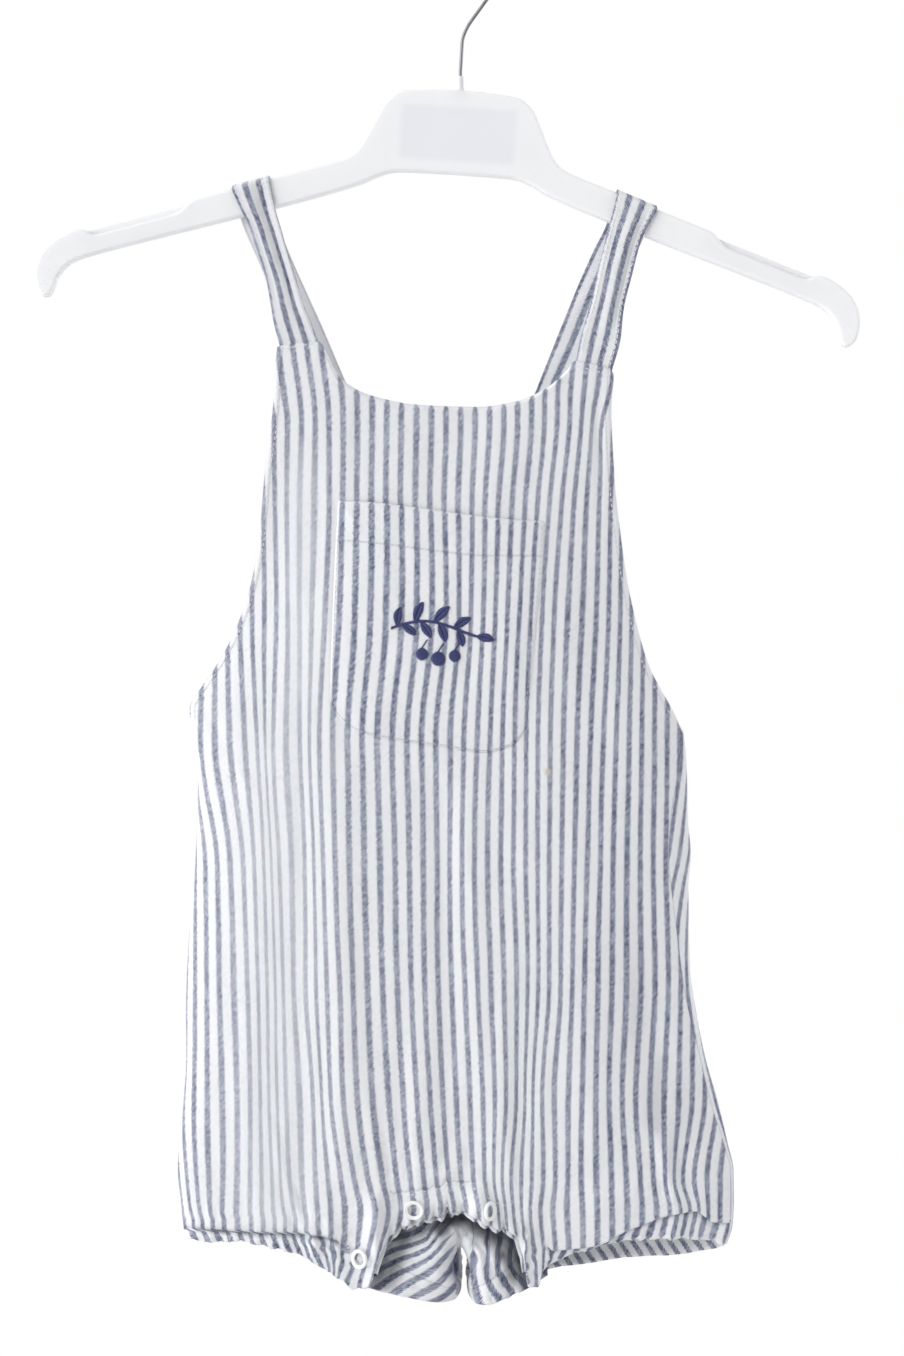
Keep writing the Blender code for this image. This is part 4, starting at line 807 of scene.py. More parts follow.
def drawn_wire():
    m = Nodes("hook_steel")
    x, y, z = m.split(m.place())
    streak = m.noise(m.join(m.math("MULTIPLY", x, 900.0), m.math("MULTIPLY", y, 900.0), m.math("MULTIPLY", z, 120.0)), 1.0, 3.0, 0.6)
    m.set(Base_Color=m.mix(streak, (0.20, 0.205, 0.225, 1), (0.34, 0.34, 0.36, 1)), Metallic=0.9)
    m.set(Roughness=m.step(streak, 0.2, 0.8, (0.28, 0.46)))
    m.bump(streak, 0.2, 0.0001)
    return m.mat


def enamel():
    """Cream-white painted metal, a little worn on its rim."""
    m = Nodes("snap_enamel")
    p = m.place()
    worn = m.step(m.noise(p, 420.0, 3.0, 0.6), 0.56, 0.72)
    m.set(Base_Color=m.mix(m.math("MULTIPLY", worn, 0.5), (0.93, 0.93, 0.915, 1), (0.80, 0.80, 0.785, 1)))
    m.set(Roughness=m.step(m.noise(p, 800.0, 2.0, 0.5), 0.2, 0.8, (0.26, 0.42)), Specular_IOR_Level=0.5)
    m.bump(m.noise(p, 700.0, 2.0, 0.5), 0.12, 0.0002)
    return m.mat


def floor_look():
    m = Nodes("pale_floor")
    p = m.place()
    m.set(Base_Color=m.mix(m.noise(p, 5.0, 3.0, 0.5), (0.86, 0.86, 0.865, 1), (0.82, 0.82, 0.825, 1)), Roughness=0.7)
    m.bump(m.noise(p, 60.0, 3.0, 0.5), 0.1, 0.001)
    return m.mat


TWILL = striped_cloth()
WHITE_THREAD = thread("white_thread", (0.90, 0.90, 0.91, 1), (0.76, 0.77, 0.80, 1))
GREY_THREAD = thread("grey_thread", (0.66, 0.67, 0.72, 1), (0.46, 0.48, 0.55, 1))
NAVY_THREAD = thread("navy_thread", (0.030, 0.036, 0.125, 1), (0.075, 0.085, 0.225, 1), 0.42)
PLASTIC, STEEL, ENAMEL = moulded_plastic(), drawn_wire(), enamel()


# ---------------------------------------------------------------- panels
def spread(top_x, hem_xs, hem_zs, count, weight=0.5, ends=1.0):
    """Column positions, shared between an even run across the section and an
    even run along the hem."""
    t = np.linspace(0, 1, 4001)
    x = left_at(-480) + t * (right_at(-480) - left_at(-480))
    y = stand(x, np.full_like(x, -480.0), "front") * ends
    a = np.hypot(np.diff(x), np.diff(y))
    b = np.hypot(np.diff(hem_xs(t)), np.diff(hem_zs(t)))
    run = np.append(0, np.cumsum((1 - weight) * a / a.sum() + weight * b / b.sum()))
    return np.interp(np.linspace(0, 1, count), run, t)


def boundary_x(t, z, hx, hz, right, reach=70.0):
    base = left_at(z) + t * (right(z) - left_at(z))
    zb = hz(t)
    base_b = left_at(zb) + t * (right(zb) - left_at(zb))
    return base + ease(1 - (z - zb) / reach) * (hx(t) - base_b)


def turned(x, z, side, edge_gap, reach=9.0):
    """Stripe counts that the cloth runs on where it turns away at a side,
    summed from the first column on. edge_gap is the distance to that side."""
    y = stand(x, z, side)
    extra = np.hypot(np.diff(x, axis=0), np.diff(y, axis=0)) - 1.15 * np.abs(np.diff(x, axis=0))
    near = ease(1 - (edge_gap[1:] + edge_gap[:-1]) / 2 / reach)
    run = np.cumsum(np.clip(extra, 0, None) * near, axis=0)
    return np.concatenate([np.zeros((1, x.shape[1])), run]) / PITCH


def arch_point(s):
    t = ARCH_T[0] + s * (ARCH_T[1] - ARCH_T[0])
    return np.stack([hem_x(t), hem_z(t)], -1)


# Where the snap edge is drawn in tight between two puffs: place and depth.
Notch = namedtuple("Notch", "x depth")
NOTCHES = (
    Notch(-34.6, 0.6), Notch(-30.1, 1.0), Notch(-24.0, 1.0), Notch(-19.6, 0.8), Notch(-14.8, 0.9),
    Notch(-9.6, 1.6), Notch(-5.6, 0.7), Notch(-2.2, 1.0), Notch(4.2, 0.8), Notch(9.4, 0.7), Notch(15.0, 0.9),
    Notch(20.6, 0.6),
)


# Painted shade: dark hollows in the inner leg's cloth, under the snap edge.
Shade = namedtuple("Shade", "x z size depth")
SHADES = (
    Shade(-9.4, -575.7, 3.4, 1.3), Shade(-12.2, -581.0, 2.9, 1.4), Shade(-3.0, -573.4, 3.0, 0.9), Shade(-29.4, -583.0, 2.8, 0.9),
    Shade(14.6, -591.6, 1.7, 1.0), Shade(-4.0, -578.5, 7.5, 0.42),
)
# A painted shadow line that follows the snap edge down its right side.
SHADE_LINE = ((4.5, -576.6), (11.3, -581.6), (17.7, -583.2), (21.2, -586.8), (22.0, -592.0), (24.0, -598.1), (25.6, -604.3))


def gathers(x, seed, cell=2.9):
    """Uneven small gathers along an elastic, between -1 and 1."""
    return 0.7 * wander(x / cell, 0.5, seed) + 0.45 * wander(x / (cell * 0.57), 3.5, seed + 1)


def puckers(x, seed, cell=3.4):
    """Round puffs between sharp creases, along an elastic."""
    w = 0.75 * wander(x / cell, 0.5, seed) + 0.4 * wander(x / (cell * 0.55), 3.5, seed + 1)
    return 2.3 * np.abs(w) - 0.7


def front_panel():
    ts = spread(None, hem_x, hem_z, 196)
    body, low = 182, 50
    t = ts[:, None]
    top, bottom = neck_z(ts), hem_z(ts)
    # an uneven, gathered snap edge and a slightly wavy hem
    in_arch = ease((ts - 0.335) / 0.02) * ease((0.662 - ts) / 0.02)
    hem_x_here = hem_x(ts)
    notch = sum(n.depth * bell(hem_x_here - n.x, 1.0) for n in NOTCHES) * in_arch
    bottom = bottom + in_arch * (0.8 * wander(ts * 46, 1.5, 5) + 0.5 * wander(ts * 92, 1.5, 6)) + 1.5 * notch
    bottom = bottom + in_arch * 2.2 * bell(hem_x_here - 17.5, 7.0)
    bottom = bottom - (1 - in_arch) * np.where(hem_x_here > 30, 1.05, 0.7) * puckers(hem_x_here, 22) + 0.25
    start = bottom + 27.0
    k = np.linspace(0, 1, body + 1)[:-1]
    # rows are closer together just under the neckline
    k = np.where(k < 0.02, k, k)
    z_body = top[:, None] + (start - top)[:, None] * k[None, :]
    q = np.linspace(0, 1, low)
    z_low = start[:, None] + (bottom - start)[:, None] * q[None, :]
    z = np.concatenate([z_body, z_low], axis=1)
    x = boundary_x(t, z, hem_x, hem_z, seam_at)
    y = front_skin(x, z)
    u = front_grain(x, z)
    away = turned(x, z, "front", x - left_at(z))
    u = u + (away - away[-1:]) * ease((-362 - z) / 20.0)
    run_v = -z.copy()
    duty = np.full(z.shape, 0.37)
    line_a = np.full(z.shape, 99.0)
    line_b = np.full(z.shape, 99.0)

    # slope of the lower edge turns a vertical distance into a true one
    dx = np.gradient(hem_x(ts), ts)
    dz = np.gradient(hem_z(ts), ts)
    lean = np.abs(dx) / np.hypot(dx, dz)
    reach = (z - bottom[:, None]) * np.maximum(lean, 0.25)[:, None]

    # left leg: the casing's seam pinches in between two soft puffs
    seam = casing_z(x)
    d = z - seam
    hold = ease((-50.0 - x) / 9.0)
    ripple = 1 + 0.75 * gathers(x, 21)
    puff = 0.85 * bell(d - 5.2, 3.6) * ripple + 0.9 * bell(d + 4.2, 3.0) * (0.8 + 1.1 * puckers(x, 22))
    pinch = (2.2 + 0.9 * gathers(x, 23, 2.2)) * bell(d, 0.95) + 0.4 * bell(d, 2.6)
    y = y - hold * (puff - pinch) * np.minimum(1, 1.6 * full_at(x, z) + 0.15)
    y = y - hold * 0.75 * gathers(x, 24) * ease(1 - d / 24.0) * ease((d + 16) / 10.0)
    tucks = ease((x + 78) / 10.0) * ease((-44 - x) / 8.0)
    ragged = 1 - 2 * np.abs(wander((x + 0.4 * z) / 3.0, z / 4.6, 25))
    y = y - tucks * (1.3 * ragged + 0.5 * wander(x / 1.5, z / 2.4, 26)) * ease(1 - np.abs(d) / 10.0)
    u = u + tucks * 0.42 * wander(x / 3.4, z / 3.0, 33) * ease(1 - np.abs(d + 3) / 9.0)
    line_a = np.where(hold > 0.3, d, line_a)
    below = ease(-d / 2.5) * hold
    duty = duty + 0.14 * below
    u = u + hold * below * 0.16 * wander(x / 2.6, z / 4.0, 34)
    # painted shade: dark nicks in the seam, and between the tucks
    painted_shade_and_light = hold * bell(d, 0.9) * np.clip(0.35 + 0.9 * gathers(x, 28, 1.7), 0, 1)

    # the cloth gathers into the legs above both hems
    x_right = ease((x - 30) / 14.0)
    gather_up = ease(1 - (z - bottom[:, None] - 8) / 42.0)
    y = y - x_right * gather_up * (0.42 * gathers(x, 27, 3.6) + 0.25 * gathers(x, 29, 6.5))

    # the snap edge: topstitch, puff above it, waved and rolled edge
    s_arch = in_arch[:, None]
    stitch = 13.6
    da = reach - stitch
    band = ease((ts - 0.395) / 0.02) * ease((0.545 - ts) / 0.02)
    line_b = np.where(band[:, None] > 0.4, da, line_b)
    y = y - s_arch * 0.9 * bell(da - 4.2, 3.4) * band[:, None]
    y = y + s_arch * 0.5 * bell(da, 0.9) * band[:, None]
    wave = 0.9 * wander(ts * 40, 0.5, 61) + 0.6 * wander(ts * 83, 2.5, 62)
    y = y - s_arch * (0.95 * wave[:, None] + 0.5) * ease(1 - reach / 11.0)
    y = y + 2.6 * notch[:, None] * ease(1 - reach / 7.0)
    # painted shade in the notches between the puffs of the snap edge
    painted_shade_and_light = painted_shade_and_light + 0.75 * notch[:, None] * ease(1 - reach / 5.5)
    # the placket of the other leg is crumpled where it is folded back
    placket = bell(x - 24.5, 6.0) * ease((-573 - z) / 10.0)
    fine_fold = 1 - 2 * np.abs(wander((x - 0.3 * z) / 2.8, z / 4.4, 67))
    y = y - placket * (0.9 * fine_fold + 0.5 * wander(x / 1.6, z / 2.6, 68))
    u = u + placket * 0.25 * wander(x / 3.0, z / 3.4, 69)
    near = ease(1.25 - np.abs(x + 4) / 52.0) * ease((-520 - z) / 30.0)
    y = y - near * (0.42 * wander(x / 3.4, z / 7.5, 65) + 0.22 * wander(x / 1.9, z / 3.6, 66))
    roll = np.clip(1 - reach / 1.5, 0, 1)
    y = y + s_arch * 1.3 * (1 - np.sqrt(np.clip(1 - roll**2, 0, 1)))
    # painted highlight: the stripes narrow on the rolled snap edge so that it shows pale
    duty = duty * (1 - s_arch * 0.75 * ease(1 - reach / 1.1))

    # right leg: the cloth bags over, turns under and meets its casing behind
    lip = ease((ts - 0.669) / 0.028)[:, None]
    n0 = body
    xl = x[:, n0:]
    edge = blouse_z(xl[:, -1:]) * np.ones_like(xl)
    edge = edge + 0.25 * gathers(xl[:, -1:], 31)
    small = 0.3 + 0.7 * ease((1.0 - ts) / 0.035)[:, None]
    r, rv = 1.45 * small, 0.45 * small
    rows_a, rows_b, rows_c, rows_d = 20, 11, 5, low - 36
    za = start[:, None] + (edge[:, :1] + r - start[:, None]) * np.linspace(0, 1, rows_a)[None, :]
    x_edge = xl[:, -1:]
    ya = front_skin(np.broadcast_to(x_edge, za.shape), za) - x_right[:, n0 : n0 + rows_a] * (
        0.42 * gathers(x_edge, 27, 3.6) + 0.25 * gathers(x_edge, 29, 6.5))
    y0 = ya[:, -1:]
    phi = np.linspace(0, math.pi, rows_b + 1)[None, 1:]
    zb, yb = edge[:, :1] + r - r * np.sin(phi), y0 + r - r * np.cos(phi)
    psi = np.linspace(0, math.pi, rows_c + 1)[None, 1:]
    zc, yc = edge[:, :1] + r + rv * np.sin(psi), y0 + 2 * r + rv - rv * np.cos(psi)
    w = np.linspace(0, 1, rows_d + 1)[None, 1:]
    z_end = bottom[:, None]
    zd = edge[:, :1] + r + (z_end - edge[:, :1] - r) * w
    swell = (np.sin(math.pi * np.clip(w, 0, 1)) ** 0.6 * (1.5 + 0.9 * puckers(x_edge, 22)) - 0.7 * w**3) * small
    swell = swell + 1.1 * np.sin(math.pi * np.clip((w - 0.72) / 0.32, 0, 1)) * (0.8 + 0.6 * puckers(x_edge, 22)) * small
    yd = y0 + 2 * r + 2 * rv - swell
    z_lip = np.concatenate([za, zb, zc, zd], axis=1)
    y_lip = np.concatenate([ya, yb, yc, yd], axis=1)
    x_body = boundary_x(t, z_lip, hem_x, hem_z, seam_at)
    z[:, n0:] = z[:, n0:] * (1 - lip) + z_lip * lip
    y[:, n0:] = y[:, n0:] * (1 - lip) + y_lip * lip
    x[:, n0:] = x[:, n0:] * (1 - lip) + x_body * lip
    u_lip = front_grain(x_body, z_lip)
    u_edge = u_lip[:, rows_a - 1 : rows_a]
    after = np.concatenate([np.zeros(rows_a), np.linspace(0, 0.1, rows_b + rows_c), np.linspace(0.1, 1, rows_d)])[None, :]
    shifted = front_grain(x_body + 1.2 * ease(after / 0.1) + 2.6 * np.clip((after - 0.1) / 0.9, 0, 1), np.broadcast_to(edge[:, :1], x_body.shape))
    u_lip = np.where(after > 0, shifted, u_lip)
    u[:, n0:] = u[:, n0:] * (1 - lip) + u_lip * lip
    duty[:, n0:] += lip * 0.12 * ease((after - 0.1) / 0.1)
    # painted highlight: the stripes narrow at the casing's rolled lower edge; next, a painted shade in the turn under
    # the bagging lip
    duty[:, n0:] *= 1 - lip * 0.7 * ease((after - 0.84) / 0.08)
    painted_shade_and_light[:, n0:] += lip * 0.5 * ease((after - 0.04) / 0.05) * ease((0.24 - after) / 0.14)
    run_v = np.concatenate([np.zeros((len(ts), 1)), np.cumsum(np.hypot(np.diff(z, axis=1), np.diff(y, axis=1)), axis=1)], axis=1) - z[:, :1]

    # neckline and armholes: a narrow rolled rim, pressed in beside it
    drop = (neck_z(ts)[:, None] - z)
    free = (ease((ts - 0.135) / 0.02) * ease((0.885 - ts) / 0.02))[:, None]
    rim = np.clip(1 - drop / 1.4, 0, 1)
    y = y + (0.3 + 0.6 * free) * (1 - np.sqrt(np.clip(1 - rim**2, 0, 1)))
    y = y - free * (0.35 * bell(drop - 1.9, 1.1) - 0.25 * bell(drop - 4.6, 0.8))
    # painted highlight: the stripes narrow along the rolled rims and in a band just in from the snap edge, so that
    # these show pale
    duty = duty * (1 - 0.55 * free * ease(1 - drop / 0.9))
    duty = duty * (1 - 0.35 * s_arch * ease(1 - np.abs(reach - 1.5) / 1.0))
    side_l, side_r = x - left_at(z), seam_at(z) - x
    open_side = ease((z + 366) / 14.0)
    for gap in (side_l, side_r):
        rim = np.clip(1 - gap / 1.3, 0, 1)
        y = y + open_side * 0.8 * (1 - np.sqrt(np.clip(1 - rim**2, 0, 1)))
        y = y - open_side * 0.3 * bell(gap - 1.4, 0.9)
    side = np.where(side_l < side_r, side_l, side_r)
    line_b = np.where((open_side > 0.5) & (side < 12), side - 2.5, line_b)
    y = np.where(open_side < 0.5, np.minimum(y, -EDGE_Y), y)
    # painted shade along the left armhole's edge
    painted_shade_and_light = painted_shade_and_light + 0.22 * open_side * bell(side - 0.3, 0.45) * ease((side_r - side_l) / 20.0)
    # painted light: the stripes are paled on the left of the bib and across the left side, but not below the left
    # casing's seam
    fade = 0.40 * bell(x + 83, 19.0) * ease((-335 - z) / 45.0) + 0.44 * bell(x + 73.0, 8.5) * ease((-222 - z) / 36.0) * ease((z + 372) / 30.0)
    fade = (fade + 0.10 * ease((56 - x) / 24.0)) * ease((z - casing_z(x)) / 6.0)
    # painted shade in the fold's valley over the right leg
    painted_shade_and_light = painted_shade_and_light + 0.16 * bell(x - 87 - 0.05 * (z + 545), 6.0) * bell(z + 545, 24.0)
    # the shade of the slack folds: beside the left armhole, under the neckline,
    # and down the right side to the sharp turn of the fold over the leg
    carry = PLANE / (front_skin(x, z) - EYE[1])
    xa, za = EYE[0] + (x - EYE[0]) * carry, EYE[2] + (z - EYE[2]) * carry
    painted_shade_and_light = painted_shade_and_light + 0.14 * bell(xa + 86.5, 3.4) * bell(za + 273, 18.0) + 0.08 * bell(xa + 49 - 0.2 * (za + 232), 6.5) * bell(za + 232, 15.0)
    painted_shade_and_light = painted_shade_and_light + 0.20 * bell(xa - 73.0, 5.2) * bell(za + 483, 21.0) + 0.07 * bell(xa - 60.0, 4.0) * bell(za + 500, 24.0)
    painted_shade_and_light = painted_shade_and_light + 0.25 * bell(xa - 82.5 - 0.06 * (za + 520), 5.6) * ease((-496 - za) / 16.0) * ease((za + 541) / 6.0)
    painted_shade_and_light = painted_shade_and_light + 0.11 * bell(xa - 92.0, 7.0) * bell(za + 526, 15.0) + 0.10 * bell(xa + 109.0, 4.5) * bell(za + 524, 22.0)
    crest = bell(xa - 80.5 + 0.29 * (za + 537), 2.3) * ease((-533 - za) / 6.0) * ease((za + 577) / 10.0)
    y = y - 0.9 * crest + 0.8 * bell(xa - 83.0 + 0.12 * (za + 525), 3.0) * bell(za + 527, 13.0)
    # painted light: one stripe is paled beside the small fold under the right strap; its grain bends and a groove and
    # ridge run beside it
    fade = fade + 0.34 * bell(x - 54.3, 2.4) * bell(z + 243, 20.0)
    u = u + 0.26 * bell(x - 59.0, 4.0) * bell(z + 233, 11.0) - 0.12 * bell(x - 61.0, 4.0) * bell(z + 213, 8.0)
    y = y + 0.6 * bell(x - 56.3, 1.6) * bell(z + 238, 26.0) - 0.5 * bell(x - 59.8, 1.8) * bell(z + 236, 24.0)
    # painted highlight: where no painted shade lies, the fold's crest is lightened by a value below nought
    return sheet_object("front_panel_cloth", np.stack([x, y, z], -1), u, run_v / PITCH, TWILL,
                        duty=duty, line_a=line_a, line_b=line_b, fade=fade, painted_shade_and_light=np.where(painted_shade_and_light > 0.04, np.clip(painted_shade_and_light, 0, 1), painted_shade_and_light - 0.3 * crest)), (ts, x[:, -1], y[:, -1], z[:, -1])


front_cloth, FRONT_EDGE = front_panel()


# ---------------------------------------------------------------- back
def cleft_point(s):
    t = CLEFT_T[0] + s * (CLEFT_T[1] - CLEFT_T[0])
    return np.stack([back_hem_x(t), back_hem_z(t)], -1)


def cleft_distance(x, z):
    line = cleft_point(np.linspace(0, 1, 49))
    d = np.full(np.broadcast(x, z).shape, 1e9)
    for px, pz in line:
        d = np.minimum(d, np.hypot(x - px, z - pz))
    return d


def rounding(distance, radius):
    s = np.clip(distance / radius, 0, 1)
    return np.sqrt(np.clip(1 - (1 - s) ** 2, 0, 1))


def arch_out(s):
    a, b = arch_point(np.maximum(0.0, s - 0.12)), arch_point(np.minimum(1.0, s + 0.12))
    d = b - a
    d /= np.linalg.norm(d, axis=-1)[..., None]
    out = np.stack([d[..., 1], -d[..., 0]], -1)
    foot = ease(1 - np.minimum(s, 1 - s) / 0.15)[..., None]
    rise = np.where((s < 0.5)[..., None], np.array([0.85, 0.53]), np.array([-0.97, 0.24]))
    out = out * (1 - foot) + rise * foot
    return out / np.linalg.norm(out, axis=-1)[..., None]


def lobe_points(s, r):
    """Inner leg cloth from the cleft to under the snap edge, and on beneath it."""
    a, b, out = cleft_point(s)[:, None, :], arch_point(s)[:, None, :], arch_out(s)[:, None, :]
    rr = r[None, :, None]
    inner = a + (b - a) * np.minimum(rr, 1.0)
    outer = b + out * np.maximum(rr - 1, 0)
    p = np.where(rr <= 1, inner, outer)
    ends = ease(1 - np.minimum(s, 1 - s) / 0.12)[:, None]
    low = np.clip(r, 0, 1)[None, :]
    x, z = p[..., 0], p[..., 1] - 2.2 * np.sin(math.pi * low**0.7) * ends
    bx, bz = b[..., 0] * np.ones_like(x), b[..., 1] * np.ones_like(x)
    near = -stand(np.where(rr[..., 0] <= 1, bx, x), np.where(rr[..., 0] <= 1, bz, z), "front") + 2.8
    fold = rounding(np.hypot(x - a[..., 0], z - a[..., 1]), 11.0)
    # the cloth falls back behind the snap edge before it comes up under it
    ends = ease(np.minimum(s, 1 - s) / 0.08)[:, None]
    hollow = 9.0 * ease((r - 0.60) / 0.28)[None, :] * ends
    hollow = hollow * ease((1 + UNDERLAP - r)[None, :] / 6.0)
    y = np.where(rr[..., 0] <= 1, CLEFT_Y + (near - CLEFT_Y) * fold, near) + hollow
    return x, y, z


Fan = namedtuple("Fan", "n x z")
LEFT_FAN = (
    Fan(0, -38.8, -592.0), Fan(0, -30.1, -588.0), Fan(0, -18.3, -584.1),
    Fan(1, -40.5, -598.5), Fan(1, -30.1, -593.3), Fan(1, -17.9, -588.0), Fan(1, -14.4, -583.7),
    Fan(2, -37.9, -604.2), Fan(2, -32.3, -600.2), Fan(2, -24.0, -596.3), Fan(2, -16.6, -592.0), Fan(2, -11.3, -586.7),
    Fan(3, -31.4, -606.8), Fan(3, -26.2, -603.3), Fan(3, -17.0, -598.1), Fan(3, -10.9, -592.4), Fan(3, -7.4, -588.5),
    Fan(4, -23.5, -609.4), Fan(4, -17.0, -605.9), Fan(4, -11.8, -602.0), Fan(4, -7.8, -597.2), Fan(4, -5.2, -592.8),
    Fan(5, -16.6, -611.6), Fan(5, -11.3, -609.4), Fan(5, -8.3, -606.8), Fan(5, -5.7, -604.2), Fan(5, -3.5, -600.7),
)
RIGHT_FAN = (
    Fan(39, -4.4, -588.9), Fan(39, -3.9, -594.6), Fan(39, -3.9, -602.0), Fan(39, -2.6, -611.1),
    Fan(40, 1.7, -585.0), Fan(40, 1.7, -594.6), Fan(40, 2.2, -602.0), Fan(40, 4.8, -613.3),
    Fan(41, 7.8, -585.0), Fan(41, 7.8, -594.6), Fan(41, 8.7, -602.0), Fan(41, 14.0, -611.6),
    Fan(42, 13.5, -585.9), Fan(42, 12.6, -594.6), Fan(42, 13.5, -599.8), Fan(42, 19.6, -608.5),
    Fan(43, 18.3, -587.6), Fan(43, 17.3, -592.8), Fan(43, 19.2, -598.1), Fan(43, 24.9, -605.0),
    Fan(44, 23.1, -587.6), Fan(44, 22.2, -592.0), Fan(44, 25.3, -597.2), Fan(44, 29.6, -602.9),
)


def thin_plate(table, stiff=2.0):
    """A smooth stripe count through the table's places."""
    px, pz = np.array([f.x for f in table]), np.array([f.z for f in table])
    n = len(table)

    def kernel(r2):
        return 0.5 * r2 * np.log(r2 + 1e-9)

    k = kernel((px[:, None] - px) ** 2 + (pz[:, None] - pz) ** 2) + stiff * np.eye(n)
    p = np.stack([np.ones(n), px, pz], -1)
    left = np.block([[k, p], [p.T, np.zeros((3, 3))]])
    w = np.linalg.solve(left, np.append([f.n for f in table], np.zeros(3)))

    def at(x, z):
        total = w[n] + w[n + 1] * x + w[n + 2] * z
        for i in range(n):
            total = total + w[i] * kernel((x - px[i]) ** 2 + (z - pz[i]) ** 2)
        return total

    return at


left_fan, right_fan = thin_plate(LEFT_FAN), thin_plate(RIGHT_FAN)


def lobe_grain(x, y, z):
    """The left lobe's stripes fan out from the top of the cleft; the right
    lobe's hang down and turn outwards below its fold."""
    k = PLANE / (y - EYE[1])
    xa, za = EYE[0] + (x - EYE[0]) * k, EYE[2] + (z - EYE[2]) * k
    share = ease((x + 5.0) / 2.0)
    return left_fan(xa, za) * (1 - share) + right_fan(xa, za) * share


def back_panel():
    rows = 206
    ts = spread(None, back_hem_x, back_hem_z, 128, weight=0.35)
    cleft = np.linspace(CLEFT_T[1], CLEFT_T[0], 57)
    ts = np.concatenate([ts[ts < CLEFT_T[1] - 0.004], cleft, ts[ts > CLEFT_T[0] + 0.004]])[::-1]
    k = np.linspace(0, 1, rows)
    k = k**0.97
    # the wrap, from the seam on the front round the right side
    share = np.append(0.0, np.linspace(0, 1, 15)[:-1])
    ztop, zlow = RIGHT_SEAM[0].z - 0.6, -587.8
    zw = (ztop + (zlow - ztop) * k)[None, :] * np.ones((len(share), 1))
    sx = seam_at(zw) + 0.1
    xw = sx + share[:, None] * (right_at(zw) - sx)
    yw = -(stand(xw, zw, "front") + relief(xw, zw, "front"))
    yw = np.minimum(yw, -0.3)
    ridge = np.clip(xw - sx, 0, None)
    yw = yw - 0.35 * bell(ridge - 1.2, 1.0) * ease((-380 - zw) / 20) + 0.25 * np.clip(1 - ridge / 0.5, 0, 1)
    xw[0], yw[0] = xw[0] - 1.0, np.minimum(yw[0] + CLOTH + 0.5, 1.2)
    away = turned(xw, zw, "front", right_at(zw) - xw)
    uw = 40 + wrap_meet(zw) + (xw - sx) / 5.0 + away
    met = np.interp(-zw[0], -zw[-1], away[-1])
    # the back itself, right to left
    t = ts[:, None]
    top, bottom = back_top_z(ts), back_hem_z(ts)
    off_cleft = ease(np.maximum(CLEFT_T[1] - ts, ts - CLEFT_T[0]) / 0.02)
    bottom = bottom + off_cleft * 0.35 * gathers(back_hem_x(ts), 51)
    z = top[:, None] + (bottom - top)[:, None] * k[None, :]
    x = boundary_x(t, z, back_hem_x, back_hem_z, right_at)
    y = back_skin(x, z)
    # the straight elastic top and the elastic leg hems gather the cloth
    elastic = ease((x + 58) / 8) * ease((42 - x) / 8)
    drop = top[:, None] - z
    y = y + elastic * (0.95 * gathers(x, 53, 3.0) * ease(1 - (drop - 6) / 40.0))
    y = y - elastic * (0.9 * bell(drop - 13.5, 1.2)) + elastic * 0.8 * bell(drop - 7.0, 4.6)
    hem_up = z - bottom[:, None]
    legs = off_cleft[:, None] * np.minimum(1, 1.5 * full_at(x, z))
    y = y + legs * 0.9 * gathers(x, 55, 2.8) * ease(1 - (hem_up - 8) / 34.0)
    y = y - legs * 1.0 * bell(hem_up - 12.5, 1.2) + legs * 0.7 * bell(hem_up - 6.0, 4.2)
    line_a = np.where(legs > 0.2, hem_up - 12.5, 99.0)
    line_b = np.where(elastic > 0.4, drop - 13.5, 99.0)
    y = np.maximum(y, EDGE_Y * np.where(t < 0.999, 1, 0) + np.where(t < 0.999, 0, -0.3))
    d = cleft_distance(x, z)
    y = np.where(d < 12, CLEFT_Y + (y - CLEFT_Y) * rounding(d, 12.0), y)
    in_cleft = (ts >= CLEFT_T[1] - 1e-9) & (ts <= CLEFT_T[0] + 1e-9)
    y[in_cleft, -1] = CLEFT_Y
    # the stripes' count goes on round the right side and over the back
    u = -40 - (x - 60) / PITCH - 0.3 * wander(x / 40, z / 90, 57)
    u = u - 0.06 * wander(x / 8, z / 30, 58) + turned(x, z, "back", x - left_at(z))
    blend = ease((x - right_at(z) + 160) / 160.0)
    met = np.interp(-z.ravel(), -zw[-1], met).reshape(z.shape)
    u_side = 40 + wrap_meet(z) + met + (right_at(z) - seam_at(z)) / 5.0 + (right_at(z) - x) / PITCH
    u_side = u_side + turned(x, z, "back", right_at(z) - x)
    u = u + round(float(np.mean((u_side - u)[x > 20])))
    u = u * (1 - blend) + u_side * blend
    # seen through the right leg, its casing's stripes lean and close up
    lean_u = 40 + (x - 34.4 + 4.4 * (1 - np.clip(1 - hem_up / 7.0, 0, 1))) / 5.27
    to_hem = ease((x - 20) / 10) * ease((12.4 - hem_up) / 0.8)
    u = u * (1 - to_hem) + lean_u * to_hem
    duty = 0.345 + 0.1 * ease(1 - hem_up / 10.0) * off_cleft[:, None]
    # a rolled rim along the back's armholes and top
    rim = np.clip(1 - drop / 1.4, 0, 1)
    y = y - 0.9 * (1 - np.sqrt(np.clip(1 - rim**2, 0, 1))) * ease((0.995 - t) / 0.02)

    x, y, z, u = (np.concatenate(p) for p in ((xw, x), (yw, y), (zw, z), (uw, u)))
    run_v = np.concatenate([np.zeros((len(x), 1)), np.cumsum(np.hypot(np.diff(z, axis=1), np.diff(y, axis=1)), axis=1)], axis=1) - z[:, :1]
    wrap = len(share)
    duty = np.concatenate([np.full((wrap, rows), 0.36), duty])
    line_a = np.concatenate([np.full((wrap, rows), 99.0), line_a])
    line_b = np.concatenate([np.full((wrap, rows), 99.0), line_b])
    points = np.stack([x, y, z], -1).reshape(-1, 3)
    faces = grid_faces(len(x), rows)
